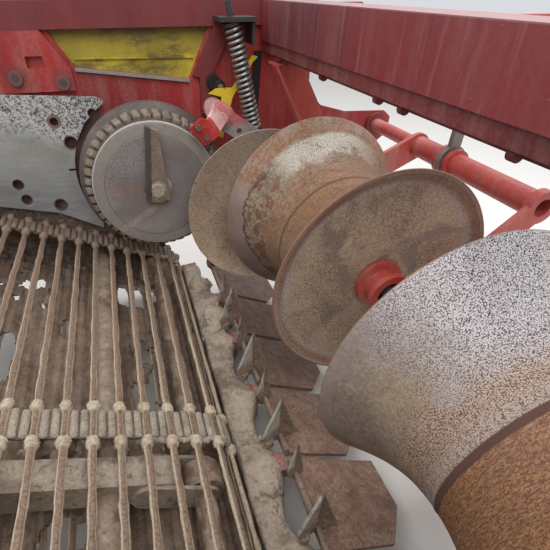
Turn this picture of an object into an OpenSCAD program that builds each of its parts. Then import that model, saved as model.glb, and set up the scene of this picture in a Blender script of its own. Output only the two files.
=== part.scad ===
// Lifting unit of a two-row potato digger, seen with its front towards +X and its left side towards +Y.
// The origin is on the axis of the rear pivot, midway between the side walls, and +Z is up.
// All sizes are in millimetres. Points given as [x, z] lie in a plane along the machine.

/* [Rows] */
// Distance between the two planted rows
row_pitch = 675; // [650:5:690]

/* [Rear pivot] */
// Radius of the pivot bores at the rear of the side frames
pivot_r = 35; // [25:1:38]
// Outer radius of the pivot bosses
pivot_boss_r = 62; // [55:1:68]
// How far a boss stands out from its wall
pivot_boss_out = 52; // [40:1:60]

/* [Side frames] */
// Distance from the middle to the inside of each side wall
wall_y = 826; // [824:1:830]
// Thickness of the side walls
wall_t = 8; // [6:1:10]
// Width of the box rail along the top of each wall
rail_w = 64; // [56:1:72]
// Height of that rail
rail_h = 58; // [54:1:62]
// How far the rail stands in from the wall
rail_in = 14; // [10:1:18]
// Height of the top of the rail above the pivot axis
rail_top = 464; // [460:1:468]
// Rear and front ends of the rail
rail_ends = [110, 1500]; // [0:1:2000]
// Thickness of the flat bars that stiffen the walls
stiffener_t = 12; // [8:1:14]
// How far the inside of the cheek plates stands in from the walls
cheek_in = 24; // [22:1:26]
// Thickness of the cheek plates
cheek_t = 6; // [4:1:8]

/* [Front beam] */
// Rear and front faces of the beam
beam_x = [1335, 1425]; // [1300:1:1450]
// Underside and top of the beam
beam_z = [371, 463]; // [360:1:470]
// Thickness of the two flanges under the beam
flange_t = 8; // [6:1:10]
// Distance from the middle to each lug for a lifting cylinder
lug_y = 550; // [480:1:600]
// Radius of the bore in each lug
lug_pin_r = 15; // [12:1:18]
// Thickness of the lugs
lug_t = 30; // [24:1:36]

/* [Digging web] */
// Angle at which the web falls towards its nose
web_slope = 20.8; // [20.4:0.1:21.2]
// Distance between two rods of the web
rod_pitch = 50; // [48:1:50]
// Number of rods in the loop
rod_count = 42; // [42:1:42]
// Diameter of a rod
rod_d = 11; // [10:0.5:12]
// Outer radius of the loop where it turns
web_turn_r = 80; // [78:1:82]
// Gap between the end of a rod and the side wall
rod_gap = 30; // [28:1:46]
// Width of each rubber belt
belt_w = 60; // [56:1:64]
// Thickness of each rubber belt
belt_t = 10; // [9:1:11]
// Radius of the cross tubes between the two runs
cross_r = 24; // [22:1:28]
// Radius of the drive shaft
drive_r = 30; // [26:1:32]
// Radius of the shaft in the nose
nose_shaft_r = 22; // [18:1:24]
// Width of the long bar under the top run
bar_w = 62; // [54:1:66]

/* [Shares] */
// Number of share plates side by side
share_count = 7; // [7:1:7]
// Distance between neighbouring share plates
share_pitch = 215; // [212:1:218]
// Gap between neighbouring share plates
share_gap = 18; // [14:1:22]
// How far the row of plates stands to the left of the middle
share_shift = 28; // [0:1:32]
// Length of one share plate from back to front
share_len = 236; // [225:1:245]
// Thickness of the share plates
share_t = 10; // [8:1:12]
// Angle at which the share plates fall forwards
share_slope = 25; // [24:0.5:26]
// Width and height of the beam that carries the shares
share_beam_size = [54, 50]; // [40:1:60]
// Thickness of the ridges along the rear edges of the plates
guard_t = 9; // [7:1:11]
// Height of those ridges
ridge_h = 14; // [12:1:18]
// Height of the large leaves that stand on the ridges
leaf_h = 136; // [120:1:145]
// Thickness of the leaves
leaf_t = 6; // [5:1:7]

/* [Diabolo rollers] */
// Radius of the rims
diabolo_r = 263; // [258:1:265]
// Radius of the waist
waist_r = 173; // [165:1:180]
// Width over both rims
diabolo_w = 417; // [405:1:420]
// Thickness of the spun shells
shell_t = 6; // [5:0.5:7]
// Place of the rollers' shafts
diabolo_c = [1421, -38]; // [-40:1:1424]
// Radius of the shafts
shaft_r = 20; // [18:1:22]
// Place of the axis on which the carriers swing
carrier_pivot = [1760, 120]; // [100:1:1770]
// Outer radius of a carrier's tube
carrier_tube_r = 28; // [26:1:30]
// Wall of that tube
carrier_wall = 8; // [6:1:10]

/* [Disc coulters] */
// Radius of a disc
disc_r = 238; // [228:1:240]
// Depth of a disc's dish
disc_dish = 42; // [36:1:46]
// Thickness of a disc
disc_t = 5; // [4:0.5:6]
// Place of a disc's middle
disc_c = [1292, -52]; // [-60:1:1300]
// Distance from the middle of the machine to the rim plane of a disc
disc_y = 611; // [609:1:615]
// Width of a coulter arm
arm_w = 56; // [50:1:60]
// Mean radius and wire radius of the coulter springs
spring_size = [20, 4.5]; // [4:0.5:22]
// Number of turns of a spring
spring_turns = 20; // [16:1:22]

/* [Haulm rollers] */
// Radius over the tread
tread_r = 214; // [208:1:216]
// Radius of the steel face
face_r = 180; // [174:1:184]
// Width of the rubber
tyre_w = 96; // [90:1:100]
// Place of a roller's axle
haulm_c = [977, 35]; // [30:1:980]
// Distance from the middle of the machine to the steel face
face_y = 666; // [664:1:668]

/* [Hidden] */

smooth = 96;
fine = 48;
// Running clearance between a shaft and its bore, and the small gap between seated pieces
run_gap = 0.05;
seat = 0.3;

red = [0.62, 0.10, 0.10];
dark_red = [0.42, 0.10, 0.10];
yellow = [0.80, 0.68, 0.10];
rust = [0.47, 0.33, 0.26];
steel = [0.62, 0.60, 0.58];
soil = [0.45, 0.38, 0.30];
rubber = [0.20, 0.18, 0.17];
grey = [0.40, 0.40, 0.41];
black = [0.10, 0.10, 0.10];

// Web: its reference is the point of the top surface at station 0, and stations grow down the
// slope. The two turning centres follow from the length of the loop.
web_ref = [760, -150];
rod_half = wall_y - rod_gap;
along = [cos(web_slope), -sin(web_slope)];
normal = [sin(web_slope), cos(web_slope)];
rod_turn_r = web_turn_r - rod_d / 2;
nose_station = 225;
loop_length = rod_pitch * rod_count;
web_run = (loop_length - 2 * PI * rod_turn_r) / 2;
nose_c = web_ref + nose_station * along - web_turn_r * normal;
drive_c = nose_c - web_run * along;
belt_y = rod_half - belt_w / 2 + 2;
belt_rows = [-belt_y, 0, belt_y];
belt_out_r = rod_turn_r + 2;
belt_in_r = belt_out_r - belt_t;
function mid_web(station) = web_ref + station * along - web_turn_r * normal;
tube_stations = [-340, 40];
roller_stations = [-250, -60];
// The long bar's ends as stations, its lower and upper edges over the loop's middle, and the
// place of its near face
bar_ends = [-420, 160];
bar_edges = [-14, 48];
bar_y = -55;
fork_t = 8;

beam_half = wall_y - rail_in;
share_w = share_pitch - share_gap;
share_back = [1145, -309.6];
share_rows = [for (i = [-(share_count - 1) / 2:(share_count - 1) / 2])
    i * share_pitch + share_shift];
share_ribs = [for (i = [-(share_count - 2) / 2:(share_count - 2) / 2])
    i * share_pitch + share_shift];
// Rear lower corner of the share beam
share_beam_c = [1036, -392];
share_beam_top = share_beam_c[1] + share_beam_size[1];
rib_w = 44;
rib_h = 22;
rib_under = 70;
guard_x = share_back[0] - share_t * sin(share_slope) - guard_t;

row_y = row_pitch / 2;
half_w = diabolo_w / 2;
plate_w = half_w - 14;
hub_hole_r = 45;
disc_back = disc_y + disc_dish + disc_t;
hanger_y = 405;
hanger_t = 15;
eye_y = 95;
outer_arm_y = 560;
carrier_arm_t = 14;
stub_r = 20;
crank = [1590, -30];
crank_y = 50;

// Coulter suspension: the arm's pivot, its spring seat and the top of the spring
coulter_pivot = [1186, 205];
spring_foot = [1303, 128];
spring_top = [1232, 430];
spring_y = 750;
arm_y = 690;
arm_t = 16;
spring_angle = atan2(spring_top[0] - spring_foot[0], spring_top[1] - spring_foot[1]);
spring_span = norm(spring_top - spring_foot);

// A plate of thickness t in the plane along the machine, whose inside face stands at y
module plate_xz(y, t)
    translate([0, y + t, 0])
        rotate([90, 0, 0])
            linear_extrude(t)
                children();

// A round bar along Y, from y1 to y2, at c = [x, z]
module bar(c, r, y1, y2, facets = fine)
    translate([c[0], y2, c[1]])
        rotate([90, 0, 0])
            cylinder(r = r, h = y2 - y1, $fn = facets);

// A profile [r, y] spun about the axis along Y through c = [x, z]
module spun(c)
    translate([c[0], 0, c[1]])
        rotate([-90, 0, 0])
            rotate_extrude($fn = smooth)
                children();

// Draws its children as they are for side 1, and mirrored for side -1
module on_side(side)
    if (side > 0) children();
    else mirror([0, 1, 0]) children();

// A strip of width w between two points of a plane, with round ends
module strip(a, b, w) {
    length = norm(b - a);
    translate(a)
        rotate(atan2(b[1] - a[1], b[0] - a[0])) {
            translate([0, -w / 2])
                square([length, w]);
            circle(d = w, $fn = fine);
            translate([length, 0])
                circle(d = w, $fn = fine);
        }
}

// A strip of width w that bends at b on its way from a to c, with round ends
module bent_strip(a, b, c, w) {
    first = (b - a) / norm(b - a);
    second = (c - b) / norm(c - b);
    side_a = w / 2 * [-first[1], first[0]];
    side_c = w / 2 * [-second[1], second[0]];
    side_b = (side_a + side_c) / (1 + first * second);
    polygon([a + side_a, b + side_b, c + side_c, c - side_c, b - side_b, a - side_a]);
    translate(a)
        rotate(atan2(first[1], first[0]))
            circle(d = w, $fn = fine);
    translate(c)
        rotate(atan2(second[1], second[0]))
            circle(d = w, $fn = fine);
}

// Outline of a side wall: from the rear pivot over the top to the front, along the nose that
// carries the tube of the row rollers, and back below
module wall_outline()
    polygon([[-80, -70], [-80, 70], [50, 230], [rail_ends[0], rail_top - rail_h],
        [rail_ends[1], rail_top - rail_h], [rail_ends[1], 235], [1548, 190], [1640, 166],
        [1790, 160], carrier_pivot + [56, 20], carrier_pivot + [56, -30],
        carrier_pivot + [20, -58], [1600, 40], [1400, 24], [1230, 60], [1120, 60],
        [1010, -130], [985, -230], [985, share_beam_c[1]], [900, -400], [200, -150]]);

module window_outline()
    polygon([[766, rail_top - rail_h - 2], [1186, rail_top - rail_h - 2], [1122, 283],
        [816, 322]]);

module side_frame(side)
    color(red)
        on_side(side)
            difference() {
                union() {
                    plate_xz(wall_y, wall_t)
                        difference() {
                            wall_outline();
                            window_outline();
                            translate(drive_c) circle(r = drive_r + seat, $fn = smooth);
                            translate(nose_c) circle(r = nose_shaft_r + seat, $fn = smooth);
                        }
                    // Box rail
                    translate([rail_ends[0], wall_y - rail_in, rail_top - rail_h])
                        cube([rail_ends[1] - rail_ends[0], rail_w, rail_h]);
                    bar([0, 0], pivot_boss_r, wall_y - stiffener_t,
                        wall_y + wall_t + pivot_boss_out, smooth);
                    // Gusset from the pivot to the rail, on the outside
                    plate_xz(wall_y + wall_t, stiffener_t)
                        polygon([[-60, 40], [30, 180], [rail_ends[0], 400],
                            [rail_ends[0] + 70, 400], [60, 0], [10, -60]]);
                    // Folded rib beside the web, on the outside
                    plate_xz(wall_y + wall_t, 34)
                        translate(mid_web(0))
                            rotate(-web_slope)
                                translate([-560, 52])
                                    square([760, 12]);
                    // Slanted post in front of the window, and the lip under the window
                    plate_xz(wall_y - rail_in, rail_in)
                        polygon([[1199, 406], [1256, 406], [1186, 290], [1172, 190],
                            [1150, 190], [1152, 286], [1132, 292]]);
                    plate_xz(wall_y - 10, 10)
                        polygon([[816, 322], [1122, 283], [1122, 275], [816, 314]]);
                    // Rear post with a notch
                    plate_xz(wall_y - rail_in, rail_in)
                        difference() {
                            polygon([[560, 406], [750, 406], [806, 322], [806, 270],
                                [560, 270]]);
                            translate([700, 325]) square([42, 26]);
                        }
                    for (boss = [[665, 305], [778, 290]])
                        bar(boss, 17, wall_y - rail_in - 10, wall_y);
                    // Nose arm to the end of the share beam
                    plate_xz(wall_y + wall_t, stiffener_t)
                        polygon([[870, -352], [1000, -352],
                            share_beam_c + [share_beam_size[0], share_beam_size[1]],
                            share_beam_c + [share_beam_size[0], 0], share_beam_c,
                            [900, -400]]);
                    translate([share_beam_c[0], wall_y - 14, share_beam_c[1]])
                        cube([share_beam_size[0], 14 + wall_t, share_beam_size[1]]);
                    bar(carrier_pivot, 36, wall_y - 12, wall_y, smooth);
                    // Pad that carries the pivot of the coulter arm
                    bar(coulter_pivot, 34, wall_y - rail_in, wall_y);
                }
                bar([0, 0], pivot_r, wall_y - 20, wall_y + wall_t + pivot_boss_out + 10, smooth);
                bar(carrier_pivot, stub_r + run_gap, wall_y - 20, wall_y + 20, smooth);
            }

module side_panel(side)
    color(yellow)
        on_side(side) {
            plate_xz(wall_y + wall_t + seat, 4)
                polygon([[740, rail_top - rail_h - seat], [1215, rail_top - rail_h - seat],
                    [1140, 268], [795, 308]]);
            // Fold along the panel
            plate_xz(wall_y + 2, wall_t + seat)
                polygon([[818, 345], [1140, 339], [1140, 333], [818, 339]]);
        }

module cheek_plate(side)
    color(steel)
        on_side(side) {
            plate_xz(wall_y - cheek_in, cheek_t)
                difference() {
                    polygon([[230, 200], [400, 262], [616, 270], [850, 254], [866, 248],
                        [874, 235], [845, 190], [790, -132], [670, -65], [508, -25],
                        [230, 85]]);
                    translate(haulm_c) circle(r = tread_r + 14, $fn = smooth);
                    // Holes as [x, z, r]
                    for (hole = [[580, 35, 14], [728, 198, 11], [758, 140, 17], [589, -12, 14],
                            [680, -39, 17], [834, 214, 11], [430, 60, 14], [300, 130, 14]])
                        translate([hole[0], hole[1]]) circle(r = hole[2], $fn = fine);
                    translate([732, 60]) square([22, 7]);
                }
            for (post = [[330, 160], [640, 220], [540, 110]])
                bar(post, 12, wall_y - cheek_in + cheek_t, wall_y);
        }

// Rubber strip that hangs on the wall in front of the spring
module wall_flap(side)
    color(black)
        on_side(side)
            plate_xz(wall_y - 6 - seat, 6)
                polygon([[1318, 345], [1342, 345], [1326, 130], [1300, 130]]);

// Rubber stop on the wall with its bolt
module bump_stop(side)
    color(black)
        on_side(side) {
            plate_xz(wall_y - rail_in - 16, 16) strip([1186, 278], [1206, 264], 34);
            bar([1206, 264], 12, wall_y - rail_in - 26, wall_y - rail_in - 16, 6);
        }

// Flanged bearings of the drive shaft and the nose shaft on the outside of the walls
module web_bearings()
    color(grey)
        for (side = [-1, 1], place = [[drive_c, drive_r, 52], [nose_c, nose_shaft_r, 40]])
            on_side(side)
                plate_xz(wall_y + wall_t + seat, 16)
                    difference() {
                        translate(place[0]) circle(r = place[2], $fn = smooth);
                        translate(place[0]) circle(r = place[1] + seat, $fn = smooth);
                    }

module front_beam()
    color(dark_red)
        translate([beam_x[0], -beam_half, beam_z[0]])
            cube([beam_x[1] - beam_x[0], 2 * beam_half, beam_z[1] - beam_z[0]]);

// Stepped flanges under the beam, with hooks for hoses
hook_rows = [-620, -380, -140, 100, 180, 420, 660];
module beam_rail()
    color(red) {
        translate([beam_x[0] + 6, -wall_y, beam_z[0] - 18])
            cube([flange_t, 2 * wall_y, 18]);
        translate([beam_x[0] + 6, -wall_y, beam_z[0] - 18 - flange_t])
            cube([44, 2 * wall_y, flange_t]);
        translate([beam_x[0] + 42, -wall_y, beam_z[0] - 42])
            cube([flange_t, 2 * wall_y, 42 - 18 - flange_t]);
        for (y = hook_rows)
            bar([beam_x[0] + 24, beam_z[0] - 34], 9, y - 6, y + 6);
    }

// Lugs for the pins of the two lifting cylinders
lug_c = [beam_x[1] + 50, 415];
module lift_lugs()
    color(red)
        for (side = [-1, 1])
            plate_xz(side * lug_y - lug_t / 2, lug_t)
                difference() {
                    union() {
                        translate([beam_x[1], lug_c[1] - 40]) square([50, 80]);
                        translate(lug_c) circle(r = 40, $fn = smooth);
                    }
                    translate(lug_c) circle(r = lug_pin_r, $fn = smooth);
                }

// Cross rail in front of the beam, held by plates, from which the tubes of the carriers hang
rail_c = [1745, 225];
rail_t = 30;
rail_half = hanger_y + hanger_t + 110;
module carrier_rail()
    color(red) {
        translate([rail_c[0], -rail_half, rail_c[1]])
            cube([rail_t, 2 * rail_half, rail_t]);
        for (y = [-rail_half, -7, rail_half - 14])
            plate_xz(y, 14)
                difference() {
                    polygon([[beam_x[1], beam_z[1]], [1480, beam_z[1]],
                        rail_c + [rail_t, rail_t + 14], rail_c + [rail_t, rail_t],
                        rail_c + [0, rail_t], rail_c, [1510, 320], [beam_x[1], beam_z[0]]]);
                    translate([1520, 375]) circle(r = 22, $fn = fine);
                }
    }

// Bars that hang from the rail and hold the carriers' tubes
module tube_hangers()
    color(grey)
        for (side = [-1, 1])
            on_side(side)
                plate_xz(hanger_y, hanger_t)
                    difference() {
                        union() {
                            translate([rail_c[0] - 1, carrier_pivot[1]])
                                square([30, rail_c[1] - carrier_pivot[1]]);
                            translate(carrier_pivot) circle(r = 42, $fn = smooth);
                        }
                        translate(carrier_pivot)
                            circle(r = carrier_tube_r + run_gap, $fn = smooth);
                    }

// Tubes between the two runs of the web, from wall to wall
module cross_tubes()
    color(red)
        for (station = tube_stations)
            bar(mid_web(station), cross_r, -wall_y, wall_y);

// Place of a rod and its slope, at the length s from station 0 along the loop
function loop_place(s) =
    let (a = nose_station,
        b = a + PI * rod_turn_r,
        c = b + web_run,
        d = c + PI * rod_turn_r)
    s < a ? [web_ref + s * along - rod_d / 2 * normal, web_slope]
    : s < b ? let (u = (s - a) / rod_turn_r * 180 / PI, w = 90 - web_slope - u)
        [nose_c + rod_turn_r * [cos(w), sin(w)], web_slope + u]
    : s < c ? [nose_c - rod_turn_r * normal - (s - b) * along, web_slope]
    : s < d ? let (u = (s - c) / rod_turn_r * 180 / PI, w = -90 - web_slope - u)
        [drive_c + rod_turn_r * [cos(w), sin(w)], web_slope + u]
    : [web_ref + (s - loop_length) * along - rod_d / 2 * normal, web_slope];

// The loop's outline at the radius r, as straight runs and two arcs of short chords
arc_steps = 16;
function arc_points(c, r, a) =
    [for (i = [0:arc_steps]) c + r * [cos(a - 180 * i / arc_steps), sin(a - 180 * i / arc_steps)]];
module loop_outline(r)
    polygon(concat(arc_points(nose_c, r, 90 - web_slope), arc_points(drive_c, r, -90 - web_slope)));

// Lugs on the belts, two between each pair of rods: half their spacing, width, length and height
lug_gap = 8.5;
lug_w = 10.5;
lug_l = 56;
lug_h = 7;
module web()
    color(soil) {
        for (y = belt_rows)
            plate_xz(y - belt_w / 2, belt_w)
                difference() {
                    loop_outline(belt_out_r);
                    loop_outline(belt_in_r);
                }
        for (i = [0:rod_count - 1]) {
            place = loop_place(i * rod_pitch);
            translate([place[0][0], rod_half, place[0][1]])
                rotate([90, place[1], 0])
                    rotate(22.5)
                        cylinder(d = rod_d, h = 2 * rod_half, $fn = 8);
            between = loop_place((i + 0.5) * rod_pitch);
            for (y = belt_rows)
                translate([between[0][0], y, between[0][1]])
                    rotate([0, between[1], 0])
                        for (x = [-lug_gap, lug_gap])
                            translate([x - lug_w / 2, -lug_l / 2, 0])
                                cube([lug_w, lug_l, lug_h]);
        }
    }

// Shaft with a star wheel under each belt
module web_drive_shaft()
    color(grey)
        difference() {
            union() {
                bar(drive_c, drive_r, -wall_y - 44, wall_y + 44);
                for (y = belt_rows)
                    bar(drive_c, belt_in_r - 2 * seat, y - 24, y + 24, smooth);
            }
            for (y = belt_rows, turn = [0:60:300])
                bar(drive_c + 47 * [cos(turn), sin(turn)], 11, y - 30, y + 30);
        }

module nose_rollers()
    color(grey) {
        bar(nose_c, nose_shaft_r, -wall_y - wall_t, wall_y + wall_t);
        for (y = belt_rows)
            bar(nose_c, belt_in_r - 2 * seat, y - 26, y + 26, smooth);
        // Drum between the two cheeks of the long bar's fork
        bar(nose_c, 44, bar_y - bar_w + 4, bar_y - 4, smooth);
    }

// Long bar under the top run beside the middle belt, with a fork that holds the nose shaft
module support_beam()
    color(soil) {
        plate_xz(bar_y - bar_w, bar_w)
            difference() {
                translate(mid_web(bar_ends[0]))
                    rotate(-web_slope)
                        translate([0, bar_edges[0]])
                            square([bar_ends[1] - bar_ends[0], bar_edges[1] - bar_edges[0]]);
                for (station = tube_stations)
                    translate(mid_web(station)) circle(r = cross_r + seat, $fn = fine);
            }
        for (y = [bar_y, bar_y - bar_w - fork_t])
            plate_xz(y, fork_t)
                difference() {
                    strip(mid_web(bar_ends[1] - 50) + 12 * normal, nose_c, 44 + nose_shaft_r);
                    translate(nose_c) circle(r = nose_shaft_r + seat, $fn = fine);
                }
    }

// Rollers under the middle belt, on stub axles from the long bar
idler_r = 36;
module support_rollers()
    color(grey)
        for (station = roller_stations) {
            c = mid_web(station) + (belt_in_r - idler_r - seat) * normal;
            bar(c, idler_r, -belt_w / 2, belt_w / 2, smooth);
            bar(c, 10, bar_y, belt_w / 2 + 8);
        }

module share_beam()
    color(soil)
        translate([share_beam_c[0], -wall_y + 14, share_beam_c[1]])
            cube([share_beam_size[0], 2 * (wall_y - 14), share_beam_size[1]]);

// Bars from the share beam to the gaps between the plates; each holds two plates
module share_carriers()
    color(red)
        for (y = share_ribs)
            plate_xz(y - rib_w / 2, rib_w)
                polygon([[share_beam_c[0] + 10, share_beam_top],
                    [share_beam_c[0] + 10, share_beam_top + rib_h],
                    [guard_x - 2, share_beam_top + rib_h],
                    share_back + [0, -share_t / cos(share_slope) - seat],
                    share_back + [rib_under, -share_t / cos(share_slope) - seat
                        - rib_under * tan(share_slope)],
                    share_back + [rib_under - 6, -66], share_back + [0, -52],
                    [share_back[0] - 30, share_beam_top]]);

module share_blades()
    color(rust)
        for (y = share_rows)
            translate([share_back[0], y, share_back[1]])
                rotate([0, share_slope, 0])
                    translate([0, 0, -share_t])
                        linear_extrude(share_t)
                            polygon([[0, -share_w / 2], [share_len * 0.72, -share_w / 2],
                                [share_len, -share_w * 0.1], [share_len, share_w / 2],
                                [0, share_w / 2]]);

// A pointed leaf of height h, folded along its middle, with its rear and front half so wide
module leaf(h, rear, front, fold) {
    rotate([90, 0, fold])
        linear_extrude(leaf_t, center = true)
            polygon([[2, ridge_h / 2], [2, h - 6], [0, h], [-rear, h * 0.24], [-rear * 0.86, h * 0.08],
                [-rear * 0.5, 0], [-6, -6]]);
    rotate([90, 0, -fold])
        linear_extrude(leaf_t, center = true)
            polygon([[-2, 2], [front * 0.4, 2], [front, h * 0.16], [0, h], [-2, h - 6]]);
}

// Ridges along the rear edges of the share plates. Each carries a large leaf with a bolt boss at
// its right end and a slender leaf at its left end, which keep haulm out of the gaps.
module share_guards()
    color(rust)
        for (i = [0:share_count - 1])
            translate([guard_x, share_rows[i], share_back[1]]) {
                translate([0, -share_w / 2, -8])
                    cube([guard_t, share_w, 8 + ridge_h]);
                // The left plate has no large leaf, because the disc runs there
                if (i < share_count - 1)
                    translate([guard_t / 2, -share_w / 2 + 48, 0]) {
                        leaf(leaf_h, 50, 38, 20);
                        translate([-30, -11, -4]) cylinder(r = 12, h = 16, $fn = fine);
                    }
                translate([guard_t / 2, share_w / 2 - 34, 0])
                    leaf(leaf_h * 0.82, 20, 18, 12);
            }

// Folded strut from the underside of the beam down to the nose of the wall
strut_y = 708;
strut_t = 8;
module front_strut(side)
    color(red)
        on_side(side) {
            plate_xz(strut_y, strut_t)
                polygon([[beam_x[0], beam_z[0] - 46], [beam_x[0] + 88, beam_z[0] - 46],
                    [1530, 150], [1500, 92], [1460, 92], [1436, 150]]);
            plate_xz(strut_y - 30, 30)
                polygon([[beam_x[0], beam_z[0] - 46], [beam_x[0] + 8, beam_z[0] - 46],
                    [1444, 150], [1436, 150]]);
            translate([beam_x[0], strut_y - 30, beam_z[0] - 46])
                cube([88, 60, 4]);
            bar([1480, 120], 18, strut_y + strut_t, wall_y);
        }

module haulm_bracket(side)
    color(red)
        on_side(side) {
            bar(haulm_c, shaft_r, face_y + 34, wall_y);
            bar(haulm_c, 50, wall_y - 14, wall_y);
        }

// Rubber of a haulm roller: a band with lugs at its inner shoulder
lug_count = 36;
module haulm_tyre(side)
    color(rubber)
        on_side(side) {
            spun(haulm_c)
                polygon([[hub_hole_r, face_y + 6], [face_r, face_y + 6], [tread_r - 12, face_y + 14],
                    [tread_r - 10, face_y + 32], [tread_r, face_y + 36],
                    [tread_r, face_y + tyre_w - 10], [tread_r - 14, face_y + 6 + tyre_w],
                    [120, face_y + 6 + tyre_w], [100, face_y + tyre_w - 20],
                    [hub_hole_r, face_y + tyre_w - 20]]);
            for (i = [0:lug_count - 1])
                translate([haulm_c[0], face_y + 10, haulm_c[1]])
                    rotate([0, i * 360 / lug_count, 0])
                        translate([-7, 0, tread_r - 26])
                            cube([14, 28, 24]);
        }

channel_h = 24;
channel_foot_r = 38;
module haulm_face(side)
    color(steel)
        on_side(side) {
            spun(haulm_c)
                polygon([[0, face_y], [face_r - 26, face_y], [face_r - 10, face_y + 1.5],
                    [face_r, face_y + 5.7], [hub_hole_r - seat, face_y + 5.7],
                    [hub_hole_r - seat, face_y + tyre_w - 20],
                    [shaft_r + run_gap, face_y + tyre_w - 20],
                    [shaft_r + run_gap, face_y + 32], [0, face_y + 32]]);
            // Tapered channel from the hub to the rim, with a round foot and the axle's cap
            plate_xz(face_y - channel_h, channel_h)
                translate(haulm_c)
                    rotate(9) {
                        polygon([[-23, 0], [23, 0], [13, face_r - 28], [-13, face_r - 28]]);
                        circle(r = channel_foot_r, $fn = fine);
                    }
            bar(haulm_c, 24, face_y - channel_h - 6, face_y);
        }

module coulter_arm(side)
    color(red)
        on_side(side) {
            plate_xz(arm_y, arm_t)
                difference() {
                    bent_strip(coulter_pivot, spring_foot, disc_c, arm_w);
                    translate(coulter_pivot) circle(r = 14 + seat, $fn = fine);
                    translate([1236, 166]) circle(r = 8, $fn = smooth);
                }
            bar(disc_c, shaft_r, disc_back + 6, arm_y + arm_t / 2);
            bar(spring_foot, 12, arm_y + arm_t / 2, spring_y + 26);
        }

// Pivot of a coulter arm on the wall, with a bent clamp bolted on at its inner end
clamp_y = face_y - 26;
module coulter_clamp(side)
    color(red)
        on_side(side) {
            bar(coulter_pivot, 14, arm_y - 14, wall_y - rail_in);
            bar(coulter_pivot, 30, wall_y - rail_in - 26, wall_y - rail_in);
            plate_xz(clamp_y, 10)
                polygon([[1083, 193], [1117, 217], [1138, 213], [1164, 170], [1124, 147]]);
            hull() {
                plate_xz(clamp_y, 10) strip([1134, 206], [1156, 171], 8);
                plate_xz(arm_y - seat - 10, 10) strip([1162, 236], [1194, 199], 8);
            }
            for (bolt = [[1108, 196], [1130, 170]])
                bar(bolt, 9, clamp_y - 8, clamp_y, 6);
        }

// Yellow shield plate beside a coulter arm
guard_plate_y = 777;
module arm_guard(side)
    color(yellow)
        on_side(side) {
            plate_xz(guard_plate_y, 5)
                polygon([[1170, 140], [1206, 128], [1216, 170], [1240, 238], [1300, 322],
                    [1316, 336], [1300, 340], [1240, 262], [1190, 262], [1168, 250],
                    [1206, 240], [1200, 180]]);
            bar([1226, 240], 8, guard_plate_y + 5, wall_y);
        }

// Places its children along the spring, with +Z from its foot to its top
module along_spring()
    translate([spring_foot[0], spring_y, spring_foot[1]])
        rotate([0, spring_angle, 0])
            children();

// Wire of radius w wound at the radius r over the height h
coil_steps = 14;
coil_sides = 6;
module coil(r, w, h, turns) {
    count = turns * coil_steps;
    points = [for (i = [0:count], j = [0:coil_sides - 1])
        let (a = 360 * i / coil_steps, b = 360 * j / coil_sides, q = r + w * cos(b))
            [q * cos(a), q * sin(a), h * i / count + w * sin(b)]];
    walls = [for (i = [0:count - 1], j = [0:coil_sides - 1])
        let (k = i * coil_sides, next = (j + 1) % coil_sides)
            [k + j, k + next, k + coil_sides + next, k + coil_sides + j]];
    polyhedron(points, concat([[for (j = [coil_sides - 1:-1:0]) j]],
        [[for (j = [0:coil_sides - 1]) count * coil_sides + j]], walls));
}

spring_cup_r = 26;
spring_lift = 20.5 + spring_size[1] + seat;
module coulter_spring(side)
    color(black)
        on_side(side)
            along_spring()
                translate([0, 0, spring_lift])
                    coil(spring_size[0], spring_size[1], spring_span - 2 * spring_lift + seat,
                        spring_turns);

// Rod through a spring, its two cups, and the shelf on the wall that takes its push
module spring_rod(side)
    color(grey)
        on_side(side) {
            along_spring() {
                translate([0, 0, 14]) cylinder(r = 8, h = spring_span + 20, $fn = fine);
                translate([0, 0, 12.5]) cylinder(r = spring_cup_r, h = 8, $fn = fine);
                translate([0, 0, spring_span - 20]) cylinder(r = spring_cup_r, h = 8, $fn = fine);
            }
            translate([spring_top[0] - 34, spring_y - 32, spring_top[1] - 11])
                cube([96, wall_y - rail_in - spring_y + 32, 10]);
            translate([spring_top[0] + 54, spring_y - 20, spring_top[1] - 62])
                cube([8, wall_y - rail_in - spring_y + 20, 60]);
        }

function dish_depth(r) = disc_dish * (1 - (r / disc_r) * (r / disc_r));
disc_steps = 8;
module disc(side)
    color(rust)
        on_side(side)
            spun(disc_c) {
                polygon(concat(
                    [for (i = [0:disc_steps])
                        let (r = i * disc_r / disc_steps) [r, disc_y + dish_depth(r)]],
                    [for (i = [disc_steps:-1:0])
                        let (r = i * disc_r / disc_steps) [r, disc_y + disc_t + dish_depth(r)]]));
                difference() {
                    translate([0, disc_back - 1]) square([46, 26]);
                    translate([-1, disc_back + 5]) square([shaft_r + run_gap + 1, 40]);
                }
            }

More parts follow.
